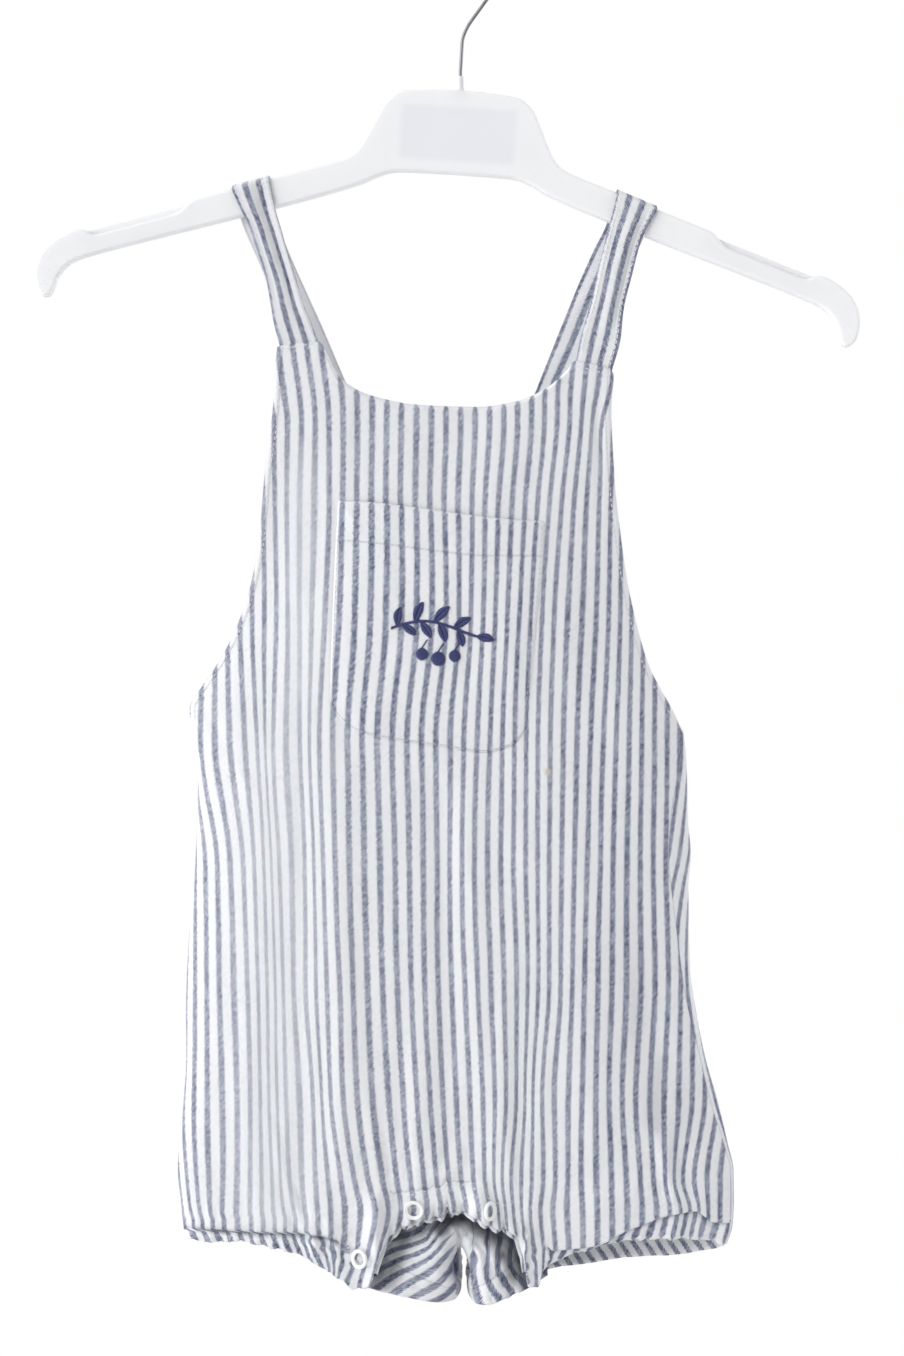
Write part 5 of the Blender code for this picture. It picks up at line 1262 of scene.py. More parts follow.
    # the legs' inner cloth carries on from the cleft to the snap edge
    keep = np.nonzero(in_cleft)[0]
    s = (CLEFT_T[0] - ts[keep]) / (CLEFT_T[0] - CLEFT_T[1])
    r = np.concatenate([np.linspace(0, 1, 33)[1:], 1 + np.array([1.2, 2.6, 4.4, 6.6, UNDERLAP])])
    lx, ly, lz = lobe_points(s, r)
    middle = np.minimum(s, 1 - s)[:, None]
    lu = lobe_grain(lx, ly, lz)
    plain = bell(lx + 1.0, 7.5) * ease((lz + 592.0) / 7.0)
    sharp = 1 - 2 * np.abs(wander((lx + 0.35 * lz) / 4.0, lz / 5.0, 83))
    small_folds = 1 - 2 * np.abs(wander((lx - 0.4 * lz) / 2.6, lz / 3.2, 84))
    crumple = 1.2 * wander(lx / 4.6, lz / 4.0, 81) + 1.3 * sharp + 0.6 * small_folds
    body = np.sin(math.pi * np.clip(r, 0, 1) ** 1.2)[None, :]
    upper = ease((r - 0.40) / 0.3)[None, :]
    ridges = np.cos(2 * math.pi * (lu + 0.5)) * 0.5
    calm = 0.45 + 0.55 * ease((lx + 20) / 10.0)
    ly = ly - body * (crumple * calm * (0.4 + 0.8 * plain + 0.5 * upper) + ridges * (1 - plain))
    right_side = ease((lx + 8) / 8.0)
    lu = lu + body * (0.04 + 0.16 * right_side) * wander(lx / 3.6, lz / 3.8, 85)
    lift = body * 1.4 * bell(r - 0.32, 0.22)[None, :]
    # the right lobe folds over on itself two thirds of the way down
    turn = bell(lz + 603.0, 2.2) * ease((lx + 2) / 4.0) * ease((24 - lx) / 5.0)
    ly = ly - lift + 1.3 * turn * body
    base = len(points)
    index = np.arange(len(keep) * len(r)).reshape(len(keep), len(r)) + base
    first = (wrap + keep) * rows + rows - 1
    strip = np.concatenate([first[:, None], index], axis=1)
    more = np.stack([strip[:-1, :-1], strip[:-1, 1:], strip[1:, 1:], strip[1:, :-1]], -1).reshape(-1, 4)
    points = np.concatenate([points, np.stack([lx, ly, lz], -1).reshape(-1, 3)])
    faces = np.concatenate([faces, more])
    tail = np.ones(lx.size)
    lobe_duty = 0.44 * (1 - ease(plain * 1.6))
    hem_side = np.minimum(s, 1 - s)[:, None] * 90 * np.ones_like(lx)
    # painted shade on the inner leg's cloth: darker towards the snap edge, in the folds' valleys and the plain patch,
    # and at the listed hollows and line
    painted_shade_and_light = (0.30 * ease((r - 0.62) / 0.26) + 0.75 * ease((r - 0.84) / 0.10))[None, :] * np.clip(0.85 + 0.5 * wander(lx / 3.0, lz / 3.0, 86), 0, 1)
    painted_shade_and_light = painted_shade_and_light + 0.35 * body * np.clip(-sharp, 0, 1) + 0.25 * plain * np.clip(-small_folds + 0.2, 0, 1)
    carry = PLANE / (ly - EYE[1])
    xa, za = EYE[0] + (lx - EYE[0]) * carry, EYE[2] + (lz - EYE[2]) * carry
    for spot in SHADES:
        painted_shade_and_light = painted_shade_and_light + spot.depth * bell(np.hypot(xa - spot.x, za - spot.z), spot.size)
    line = np.array(SHADE_LINE)
    at = np.linspace(0, len(line) - 1, 61)
    gap = np.full(lx.shape, 1e9)
    for px, pz in zip(np.interp(at, np.arange(len(line)), line[:, 0]), np.interp(at, np.arange(len(line)), line[:, 1])):
        gap = np.minimum(gap, np.hypot(xa - px, za - pz))
    painted_shade_and_light = painted_shade_and_light + 1.35 * bell(gap, 2.3)
    values = {
        "painted_shade_and_light": np.concatenate([np.zeros(x.size), np.clip(painted_shade_and_light, 0, 1.30).ravel()]),
        "fade": np.zeros(len(points)),
        "duty": np.concatenate([duty.ravel(), lobe_duty.ravel()]),
        "line_a": np.concatenate([line_a.ravel(), (hem_side - 9.0).ravel()]),
        "line_b": np.concatenate([line_b.ravel(), tail * 99.0]),
    }
    lv = 584 + np.hypot(lx + 11.3, lz + 581.8)
    uv = np.stack([np.concatenate([u.ravel(), lu.ravel()]), np.concatenate([run_v.ravel(), lv.ravel()]) / PITCH], -1)
    obj = mesh_object("back_panel_cloth", points, faces.tolist(), TWILL, uv, values)
    shell = obj.modifiers.new("wall", "SOLIDIFY")
    shell.thickness = CLOTH * MM
    shell.offset = -1.0
    shell.use_even_offset = False
    return obj


back_cloth = back_panel()


def snap_facing():
    s = np.linspace(0.06, 0.94, 170)
    w = np.concatenate([np.linspace(-1.6, 1.5, 8), np.linspace(2.4, 12.0, 9)])
    base, out = arch_point(s)[:, None, :], arch_out(s)[:, None, :]
    p = base + out * w[None, :, None]
    x, z = p[..., 0], p[..., 1]
    y = front_skin(x, z) + CLOTH + 0.35
    # its lower edge follows the front's and shows beneath it as a ruffled rim
    ts, ex, ey, ez = FRONT_EDGE
    t = ARCH_T[0] + s * (ARCH_T[1] - ARCH_T[0])
    ex, ey, ez = (np.interp(t, ts, e)[:, None] for e in (ex, ey, ez))
    hug = ease((4.5 - w) / 2.5)[None, :]
    ruffle = ease((1.2 - w) / 2.6)[None, :]
    wave = (0.9 * wander(s * 48, 0.5, 63) + 0.5 * wander(s * 97, 1.5, 64))[:, None]
    x = x * (1 - hug) + (ex + out[..., 0] * w) * hug
    z = z * (1 - hug) + (ez + out[..., 1] * w) * hug + ruffle * 0.55 * wave
    y = y * (1 - hug) + (ey + CLOTH + 0.1 + 1.0 * ruffle * wave) * hug
    # painted shade in the troughs of the ruffled rim
    return sheet_object("snap_facing_cloth", np.stack([x, y, z], -1), front_grain(x, z) + 0.3, -z / PITCH, TWILL,
                        duty=0.22, wall=0.7, painted_shade_and_light=0.3 * ease((0.4 - wave) / 1.2) * ruffle)


facing_cloth = snap_facing()


# ---------------------------------------------------------------- pocket
HEM_LINE = (
    Line(-60.0, -279.6), Line(-38.4, -281.5), Line(-18.3, -284.1), Line(8.3, -286.8), Line(33.0, -286.8),
)
pocket_hem = Run(HEM_LINE, "x", "z")


def pocket_lift(u, w, x, z):
    """How far the pocket's face stands over the panel: held at its seams, a
    little full between them, and clear at its open top."""
    sides = np.minimum(u, 1 - u)
    inside = ease(sides / 0.10) * ease((1 - w) / 0.12)
    mouth = ease(1 - w / 0.16)
    d = z - pocket_hem(x)
    lift = 0.52 - 0.24 * ease(1 - u / 0.05) * ease(w / 0.12) + 0.2 * ease(np.minimum(sides / 0.03, (1 - w) / 0.03)) + 0.75 * inside + 0.3 * mouth * ease(sides / 0.06)
    lift = lift + 0.22 * ease((d + 0.2) / 1.2) * ease(sides / 0.03) - 0.26 * bell(d, 0.8) * ease(sides / 0.03)
    lift = lift + inside * (0.3 * wander(x / 13, z / 30, 91) + 0.12 * wander(x / 5, z / 11, 92))
    # puckers where the bottom seam turns
    lift = lift + 0.35 * bell(w - 0.965, 0.02) * gathers(x, 93, 3.4)
    lift = lift + 0.55 * bell((x + 50.4) + (z + 271.5) * 0.6, 1.6) * bell(z + 271.0, 6.0)
    return lift


def pocket():
    across, down = 84, 92
    u = np.linspace(0, 1, across)
    u = u - 0.045 * np.sin(2 * math.pi * u)
    u = u[:, None]
    top = POCKET_TOP[0] + (POCKET_TOP[1] - POCKET_TOP[0]) * ease(u)
    bottom = pocket_low(u)
    w = np.linspace(0, 1, down)[None, :]
    z = top + (bottom - top) * w
    v = (POCKET_TOP[0] - z) / (POCKET_TOP[0] + 372.3)
    a, b = pocket_left(v), pocket_right(v)
    x = a + (b - a) * u
    lift = pocket_lift(u, w, x, z)
    y = front_skin(x, z) - lift
    # edges are turned under
    side = np.minimum(x - a, b - x)
    low = z - bottom
    edge = np.minimum(side, low)
    roll = np.clip(1 - edge / 1.0, 0, 1)
    y = y + 0.35 * (1 - np.sqrt(np.clip(1 - roll**2, 0, 1)))
    head = np.clip(1 - (top - z) / 1.0, 0, 1)
    y = y + 0.55 * (1 - np.sqrt(np.clip(1 - head**2, 0, 1)))
    # painted highlight: the stripes narrow at the pocket's turned top and right edge, so that these show pale
    duty = 0.37 * (1 - 0.7 * ease(1 - (top - z) / 0.9)) * (1 - 0.5 * ease(1 - (b - x) / 0.8))
    grain = front_grain(x, z) + 0.08 * wander(x / 30, z / 40, 94) - 0.04
    line_a = z - pocket_hem(x)
    line_b = np.where(low < side, edge - 1.0, 99.0)
    return sheet_object("pocket_cloth", np.stack([x, y, z], -1), grain, -z / PITCH, TWILL, duty=duty,
                        line_a=line_a, line_b=line_b, wall=0.45)


pocket_cloth = pocket()


def pocket_face(xs, zs):
    """Points on the pocket's outer face, with normals."""
    xs, zs = np.asarray(xs, float), np.asarray(zs, float)

    def face(x, z):
        v = (POCKET_TOP[0] - z) / (POCKET_TOP[0] + 372.3)
        a, b = pocket_left(v), pocket_right(v)
        u = np.clip((x - a) / (b - a), 0, 1)
        top = POCKET_TOP[0] + (POCKET_TOP[1] - POCKET_TOP[0]) * ease(u)
        w = np.clip((top - z) / (top - pocket_low(u)), 0, 1)
        return front_skin(x, z) - pocket_lift(u, w, x, z)

    y = face(xs, zs)
    e = 0.5
    gx = (face(xs + e, zs) - face(xs - e, zs)) / (2 * e)
    gz = (face(xs, zs + e) - face(xs, zs - e)) / (2 * e)
    n = np.stack([gx, -np.ones_like(gx), gz], -1)
    n /= np.linalg.norm(n, axis=1)[:, None]
    return np.stack([xs, y, zs], -1), n


# ---------------------------------------------------------------- straps
def hanger_point(x, z):
    a = math.radians(HANGER_TILT)
    return (x * math.cos(a) + z * math.sin(a) + STEM[0], -x * math.sin(a) + z * math.cos(a) + STEM[1])


def arm_top(x):
    side = 1 if x > STEM[0] else -1
    points = sorted(hanger_point(side * p.x, p.z) for p in HANGER_TOP[9:13])
    return float(np.interp(x, [p[0] for p in points], [p[1] for p in points]))


def catmull(points, per):
    """A smooth run through points, evenly divided."""
    p = np.asarray(points, float)
    p = np.concatenate([2 * p[:1] - p[1:2], p, 2 * p[-1:] - p[-2:-1]])
    out = []
    for k in range(1, len(p) - 2):
        s = np.linspace(0, 1, per, endpoint=False)[:, None]
        a, b, c, d = p[k - 1], p[k], p[k + 1], p[k + 2]
        out.append(0.5 * (2 * b + (c - a) * s + (2 * a - 5 * b + 4 * c - d) * s**2 + (3 * b - a - 3 * c + d) * s**3))
    out.append(p[-2:-1])
    return np.concatenate(out)


def strap_line(front, top, back):
    half = HANGER_THICK / 2 - HANGER_ROUND
    radius = HANGER_ROUND + STRAP_CLEAR
    over = []
    for angle in (180, 150, 120, 90):
        a = math.radians(angle)
        over.append((-half + radius * math.cos(a), -HANGER_ROUND + radius * math.sin(a)))
    over = over + [(-y, z) for y, z in reversed(over)]
    inner = [(s.x_in, s.y, s.z_in) for s in front] + [(top[0], y, arm_top(top[0]) + r) for y, r in over]
    outer = [(s.x_out, s.y, s.z_out) for s in front] + [(top[1], y, arm_top(top[1]) + r) for y, r in over]
    inner += [(s.x_in, s.y, s.z_in) for s in back]
    outer += [(s.x_out, s.y, s.z_out) for s in back]
    a, b = catmull(inner, 30), catmull(outer, 30)
    middle = (a + b) / 2
    run = np.append(0, np.cumsum(np.linalg.norm(np.diff(middle, axis=0), axis=1)))
    at = np.linspace(0, run[-1], 260)
    a = np.stack([np.interp(at, run, a[:, i]) for i in range(3)], -1)
    b = np.stack([np.interp(at, run, b[:, i]) for i in range(3)], -1)
    return a, b, at


def strap(name, front, top, back, left):
    a, b, run = strap_line(front, top, back)
    over = int(np.argmax((a + b)[:, 2]))      # where it crosses the arm
    across = 17
    f = np.linspace(0, 1, across)[:, None]    # 0 inner edge, 1 outer edge
    p = a[None] + (b - a)[None] * f[..., None]
    tangent = np.gradient((a + b) / 2, axis=0)
    wide = b - a
    normal = np.cross(tangent, wide)
    normal /= np.linalg.norm(normal, axis=1)[:, None]
    if normal[5, 1] > 0:
        normal = -normal
    rows = len(run)
    front_run = run[None, :]
    is_front = ease((run[over] - run) / 8.0)[None, :]
    edge = np.minimum(f, 1 - f)
    rise = 0.16 * bell(edge - 0.075, 0.06) - 0.12 * bell(edge - 0.2, 0.05)
    rise = rise - 0.25 * (1 - np.sqrt(np.clip(1 - np.clip(1 - edge / 0.05, 0, 1) ** 2, 0, 1)))
    if left:
        rise = rise - is_front * 1.1 * bell(f - 0.27, 0.13) * ease((front_run - 8) / 22.0)
        rise = rise + is_front * 0.5 * bell(f - 0.62, 0.16) * ease((front_run - 8) / 16.0)
        from_outer = 1 - f
        grain = from_outer / 0.355
    else:
        rise = rise - is_front * 1.2 * bell(f - 0.84, 0.12) * ease((front_run - 10) / 20.0)
        rise = rise + is_front * 0.45 * bell(f - 0.52, 0.13) * ease((front_run - 8) / 16.0)
        grain = 30 + (f - 0.30) / 0.335
    back_grain = (f / 0.36 + 60) if not left else (60.1 + f / 0.36)
    grain = np.where(front_run < run[over], (from_outer / 0.355) if left else 30 + (f - 0.30) / 0.335, back_grain)
    grain = grain + 0.05 * wander(f * 3, front_run / 22, 101 if left else 102)
    rise = rise + 0.3 * wander(f * 2.4, front_run / 15, 103 if left else 104)
    rise = rise + 0.22 * wander(f * 5.0, front_run / 6, 105 if left else 106)
    thick = 0.95
    flat = bell(run - run[over], 14.0)[None, :]
    rise = rise * (1 - 0.8 * flat)
    # sewn ends: the cloth turns in under the seam
    ends = ease(1 - np.minimum(front_run, run[-1] - front_run) / 1.6)
    rise = rise - 0.35 * ends
    p = p + normal[None] * rise[..., None]
    # narrow waves along the edges
    sway = 0.22 * wander(front_run / 12, f * 0 + (1.5 if left else 4.5), 107)
    p = p + (wide / np.linalg.norm(wide, axis=1)[:, None])[None] * (sway * (1 - flat))[..., None]
    if not left:
        p = p[::-1]
        f, grain = f[::-1], np.broadcast_to(grain, (across, rows))[::-1]
    else:
        grain = np.broadcast_to(grain, (across, rows))
    width = np.linalg.norm(wide, axis=1)[None, :]
    # the inner edge is stitched twice, the outer once
    inner = f * width
    outer = (1 - f) * width
    line_a = np.abs(inner - 1.3) + 0.3
    line_b = np.where(inner < outer, np.abs(inner - 3.1) + 0.26, np.abs(outer - 1.3) + 0.26)
    front_faces = np.stack([p[..., 0], p[..., 1], p[..., 2]], -1)
    duty = 0.41 * np.ones((across, rows))
    # painted shade along a crease on the strap's front run
    band = (bell(f - 0.48, 0.10) * ease((front_run - 28) / 14.0) if left
            else 0.9 * bell(f - 0.80, 0.13) * ease((front_run - 18) / 12.0) * ease((72 - front_run) / 8.0))
    painted_shade_and_light = 0.24 * is_front * band
    if left:
        # painted light: the left strap's back run is lightened by a value below nought
        painted_shade_and_light = painted_shade_and_light - 0.75 * (1 - is_front)
    # orientation: the outer face looks away from the hanger
    e1, e2 = front_faces[1, 5] - front_faces[0, 5], front_faces[0, 6] - front_faces[0, 5]
    if np.cross(e2, e1)[1] > 0:
        front_faces, grain = front_faces[::-1], grain[::-1]
        line_a, line_b, painted_shade_and_light = line_a[::-1], line_b[::-1], painted_shade_and_light[::-1]
    obj = sheet_object(name, front_faces, grain, front_run / PITCH + 50, TWILL, duty=duty, line_a=line_a, line_b=line_b,
                       wall=thick, offset=0.0, painted_shade_and_light=painted_shade_and_light)
    return obj, (a, b, normal, run, over)


strap_l, left_line = strap("strap_left_cloth", STRAP_LEFT_FRONT, STRAP_LEFT_TOP, STRAP_LEFT_BACK, True)
strap_r, right_line = strap("strap_right_cloth", STRAP_RIGHT_FRONT, STRAP_RIGHT_TOP, STRAP_RIGHT_BACK, False)


# ---------------------------------------------------------------- stitching
def strap_path(line, share, start, stop, lift):
    a, b, normal, run, over = line
    keep = (run >= start) & (run <= stop)
    p = a + (b - a) * share
    return (p + normal * lift)[keep], normal[keep]


pocket_paths, stitch_paths = [], []
# pocket hem and its sewn sides and bottom
px = np.linspace(-57.0, 31.0, 160)
points, normals = pocket_face(px, pocket_hem(px))
pocket_paths.append((points, normals))
v = np.linspace(0.04, 0.80, 120)
zs = POCKET_TOP[0] - v * (POCKET_TOP[0] + 372.3)
lx = pocket_left(v) + 1.0
pocket_paths.append(tuple(pocket_face(lx, zs)))
us = np.linspace(0.035, 0.965, 200)
zb = pocket_low(us) + 1.0
vb = (POCKET_TOP[0] - zb) / (POCKET_TOP[0] + 372.3)
xb = pocket_left(vb) + (pocket_right(vb) - pocket_left(vb)) * us
pocket_paths.append(tuple(pocket_face(xb, zb)))
vr = np.linspace(0.10, 0.84, 120)
zr = POCKET_TOP[0] - vr * (POCKET_TOP[0] + 372.3)
pocket_paths.append(tuple(pocket_face(pocket_right(vr) - 1.0, zr)))
# armholes, one line 2.5 mm in from each edge
za = np.linspace(-212, -352, 200)
stitch_paths.append(on_front(left_at(za) + 2.5, za))
za = np.linspace(-214, -358, 200)
stitch_paths.append(on_front(seam_at(za) - 2.5, za))
# the topstitched arch over the snap edge
sa = np.linspace(0.20, 0.72, 120)
base, out = arch_point(sa), arch_out(sa)
line = base + np.stack([np.zeros_like(sa), np.full_like(sa, 13.2)], -1)
stitch_paths.append(on_front(line[:, 0], line[:, 1]))
# the strap seams across the bib's two corners
for line_xz, y_off in ((((-82.4, -195.2), (-67.6, -192.6)), 0.35), (((45.8, -202.2), (62.6, -206.4)), 0.35)):
    (x0, z0), (x1, z1) = line_xz
    sx = np.linspace(x0, x1, 40)
    sz = np.linspace(z0, z1, 40) - 1.3
    stitch_paths.append(on_front(sx, sz, 0.12))
# straps: two lines by the inner edge, one by the outer
for line in (left_line, right_line):
    a, b, normal, run, over = line
    for share in (0.085, 0.20, 0.915):
        stitch_paths.append(strap_path(line, share, 2.0, run[-1] - 3, 0.62))
stitching = beads("topstitching", stitch_paths, WHITE_THREAD)
pocket_stitching = beads("pocket_stitching", pocket_paths, GREY_THREAD, radius=0.15)


# ---------------------------------------------------------------- motif on the pocket
def satin(points, faces, start, end, normal, radius, bulge, sides=6, rings=7):
    """One embroidery thread, laid in a low arc from start to end."""
    start, end, normal = (np.asarray(v, float) for v in (start, end, normal))
    along = end - start
    size = np.linalg.norm(along)
    if size < 1e-6:
        return
    side = np.cross(along / size, normal)
    base = len(points)
    for i in range(rings):
        s = i / (rings - 1)
        r = radius * (0.55 + 0.45 * math.sin(math.pi * s) ** 0.5)
        centre = start + along * s + normal * (bulge * math.sin(math.pi * s) ** 0.6)
        for j in range(sides):
            q = 2 * math.pi * j / sides
            points.append(centre + side * math.cos(q) * r + normal * math.sin(q) * r * 0.8)
    for i in range(rings - 1):
        for j in range(sides):
            q = (j + 1) % sides
            faces.append((base + i * sides + j, base + i * sides + q,
                          base + (i + 1) * sides + q, base + (i + 1) * sides + j))
    faces.append(tuple(base + j for j in reversed(range(sides))))
    faces.append(tuple(base + (rings - 1) * sides + j for j in range(sides)))


Leaf = namedtuple("Leaf", "at turn size wide")
LEAVES = (
    Leaf(0.06, 62, 7.8, 3.5), Leaf(0.12, -52, 7.0, 3.3), Leaf(0.27, 58, 8.8, 3.8),
    Leaf(0.34, -60, 7.8, 3.6), Leaf(0.50, 54, 9.0, 3.9), Leaf(0.56, -56, 8.0, 3.7),
    Leaf(0.73, 50, 8.2, 3.6), Leaf(0.78, -50, 7.2, 3.4), Leaf(1.00, 4, 7.4, 3.5),
)
Berry = namedtuple("Berry", "x z r")
BERRIES = (Berry(-20.4, -329.6, 2.7), Berry(-13.4, -331.6, 3.1), Berry(-6.2, -330.4, 2.6))


def motif():
    """A sprig of leaves over three berries, in padded satin stitch."""
    points, faces = [], []
    rng = np.random.default_rng(7)

    def stem(s):
        return np.array([-33.6 + 36.5 * s, -318.2 + 3.4 * math.sin(1.25 * math.pi * s) - 1.2 * s])

    def place(xz, lift=0.12):
        p, n = pocket_face([xz[0]], [xz[1]])
        return p[0] + n[0] * lift, n[0]

    # stem: short slanting stitches
    for k in range(74):
        s = k / 73
        c = stem(s)
        d = stem(min(1, s + 0.01)) - stem(max(0, s - 0.01))
        d /= np.linalg.norm(d)
        across = np.array([-d[1], d[0]]) * 1.0 + d * 0.6
        jit = rng.uniform(-0.06, 0.06)
        a, n = place(c - across * (0.62 + jit))
        b, _ = place(c + across * (0.62 - jit))
        satin(points, faces, a, b, n, 0.27, 0.38)
    for leaf in LEAVES:
        root = stem(leaf.at)
        d = stem(min(1, leaf.at + 0.01)) - stem(max(0, leaf.at - 0.01))
        heading = math.atan2(d[1], d[0]) + math.radians(leaf.turn)
        axis = np.array([math.cos(heading), math.sin(heading)])
        across = np.array([-axis[1], axis[0]])
        count = int(leaf.size / 0.42)
        for k in range(count + 1):
            s = k / count
            half = leaf.wide / 2 * (math.sin(math.pi * min(1, s**0.8 * 0.96 + 0.04)) ** 0.8) + 0.12
            centre = root + axis * (0.6 + leaf.size * s) + across * 0.35 * math.sin(math.pi * s)
            slant = axis * half * 0.45
            for sign in (-1, 1):
                jit = rng.uniform(-0.10, 0.10)
                a, n = place(centre - axis * 0.25)
                b, _ = place(centre + across * sign * (half + jit) + slant)
                satin(points, faces, a, b, n, 0.27, 0.42)
    for berry in BERRIES:
        count = int(2 * berry.r / 0.42)
        for k in range(count + 1):
            h = -berry.r + 2 * berry.r * k / count
            half = math.sqrt(max(0.02, berry.r**2 - h * h)) + rng.uniform(-0.06, 0.06)
            d, w = np.array([0.94, 0.34]), np.array([-0.34, 0.94])
            c = np.array([berry.x, berry.z])
            a, n = place(c + w * h - d * half)
            b, _ = place(c + w * h + d * half)
            satin(points, faces, a, b, n, 0.27, 0.55)
        # a short stalk up towards the stem
        for k in range(7):
            c = np.array([berry.x + 0.35 * k, berry.z + berry.r + 0.55 * k])
            a, n = place(c + np.array([-0.45, -0.2]))
            b, _ = place(c + np.array([0.45, 0.25]))
            satin(points, faces, a, b, n, 0.24, 0.3)
    return mesh_object("pocket_motif", points, faces, NAVY_THREAD)


sprig = motif()


# ---------------------------------------------------------------- snaps
def snap_ring(ring):
    """A pressed ring: rounded outer rim, a low step and a rounded inner lip."""
    wall = SNAP_R - SNAP_HOLE_R
    profile = [
        (SNAP_HOLE_R, 0.15), (SNAP_HOLE_R - 0.02, 0.55), (SNAP_HOLE_R + 0.10, 0.88),
        (SNAP_HOLE_R + 0.28, 1.06), (SNAP_HOLE_R + 0.50, 1.06), (SNAP_HOLE_R + 0.66, 0.98),
        (SNAP_HOLE_R + 0.82, 1.04), (SNAP_HOLE_R + 1.02, SNAP_THICK), (SNAP_R - 0.34, SNAP_THICK),
        (SNAP_R - 0.14, 1.14), (SNAP_R - 0.02, 0.84), (SNAP_R, 0.45), (SNAP_R - 0.05, 0.14),
        (SNAP_R - 0.22, 0.0), (SNAP_HOLE_R + 0.2, 0.0),
    ]
    sides = 72
    points, faces = [], []
    turn = Matrix.Rotation(math.radians(ring.turn), 3, "Z") @ Matrix.Rotation(math.radians(ring.tilt), 3, "X")
    centre = Vector((ring.x, float(-stand(np.array(ring.x), np.array(ring.z), "front")) - ring.off, ring.z))
    for k in range(sides):
        a = 2 * math.pi * k / sides
        for r, h in profile:
            points.append(tuple(centre + turn @ Vector((r * math.cos(a), -h, r * math.sin(a)))))
    m = len(profile)
    for k in range(sides):
        for i in range(m):
            faces.append((k * m + i, k * m + (i + 1) % m, ((k + 1) % sides) * m + (i + 1) % m, ((k + 1) % sides) * m + i))
    obj = mesh_object(ring.name + "_metal", points, faces, ENAMEL)
    bm = bmesh.new()
    bm.from_mesh(obj.data)
    bmesh.ops.recalc_face_normals(bm, faces=bm.faces)
    bm.to_mesh(obj.data)
    bm.free()
    return obj


rings = [snap_ring(r) for r in RINGS]


# ---------------------------------------------------------------- hanger and hook
def inset(ring, distance):
    """The closed outline moved inwards; ring runs clockwise seen from the front."""
    before, after = np.roll(ring, 1, axis=0), np.roll(ring, -1, axis=0)
    d = after - before
    d /= np.linalg.norm(d, axis=1)[:, None]
    n = np.stack([d[:, 1], -d[:, 0]], -1)
    return ring + n * distance


def rounded(points, per=5):
    p = np.asarray(points, float)
    p = np.concatenate([p[-1:], p, p[:2]])
    out = []
    for k in range(1, len(p) - 2):
        a, b, c, d = p[k - 1], p[k], p[k + 1], p[k + 2]
        # tangents scaled to the shorter neighbour, so that close points keep their corner
        la, lb, lc = (np.linalg.norm(v) for v in (b - a, c - b, d - c))
        tb = (c - a) / (la + lb) * lb
        tc = (d - b) / (lb + lc) * lb
        s = np.linspace(0, 1, per, endpoint=False)[:, None]
        out.append((2 * s**3 - 3 * s**2 + 1) * b + (s**3 - 2 * s**2 + s) * tb
                   + (3 * s**2 - 2 * s**3) * c + (s**3 - s**2) * tc)
    return np.concatenate(out)


def slab(outline, half, radius, steps=5):
    """A plate with rounded edges, from a clockwise outline. A narrow flat ring
    inside the rounding keeps the face's shading level."""
    front = [(radius + 0.35, -half)]
    for k in range(steps + 1):
        a = math.pi / 2 * k / steps
        front.append((radius * (1 - math.sin(a)), -half + radius * (1 - math.cos(a))))
    stack = front + [(d, -y) for d, y in reversed(front)]
    points, faces = [], []
    n = len(outline)
    for d, y in stack:
        ring = inset(outline, d)
        for x, z in ring:
            points.append((x, y, z))
    for k in range(len(stack) - 1):
        for i in range(n):
            j = (i + 1) % n
            faces.append((k * n + i, k * n + j, (k + 1) * n + j, (k + 1) * n + i))
    face = inset(outline, stack[0][0])
    spots, _, inner, origin, _, _ = delaunay_2d_cdt([Vector(p) for p in face], [], [list(range(n))], 1, 1e-7)
    for last, y in ((0, -half), ((len(stack) - 1) * n, half)):
        where = []
        for spot, source in zip(spots, origin):
            if source:
                where.append(last + source[0])
            else:
                where.append(len(points))
                points.append((spot[0], y, spot[1]))
        faces += [tuple(where[i] for i in f) for f in inner]
    return points, faces


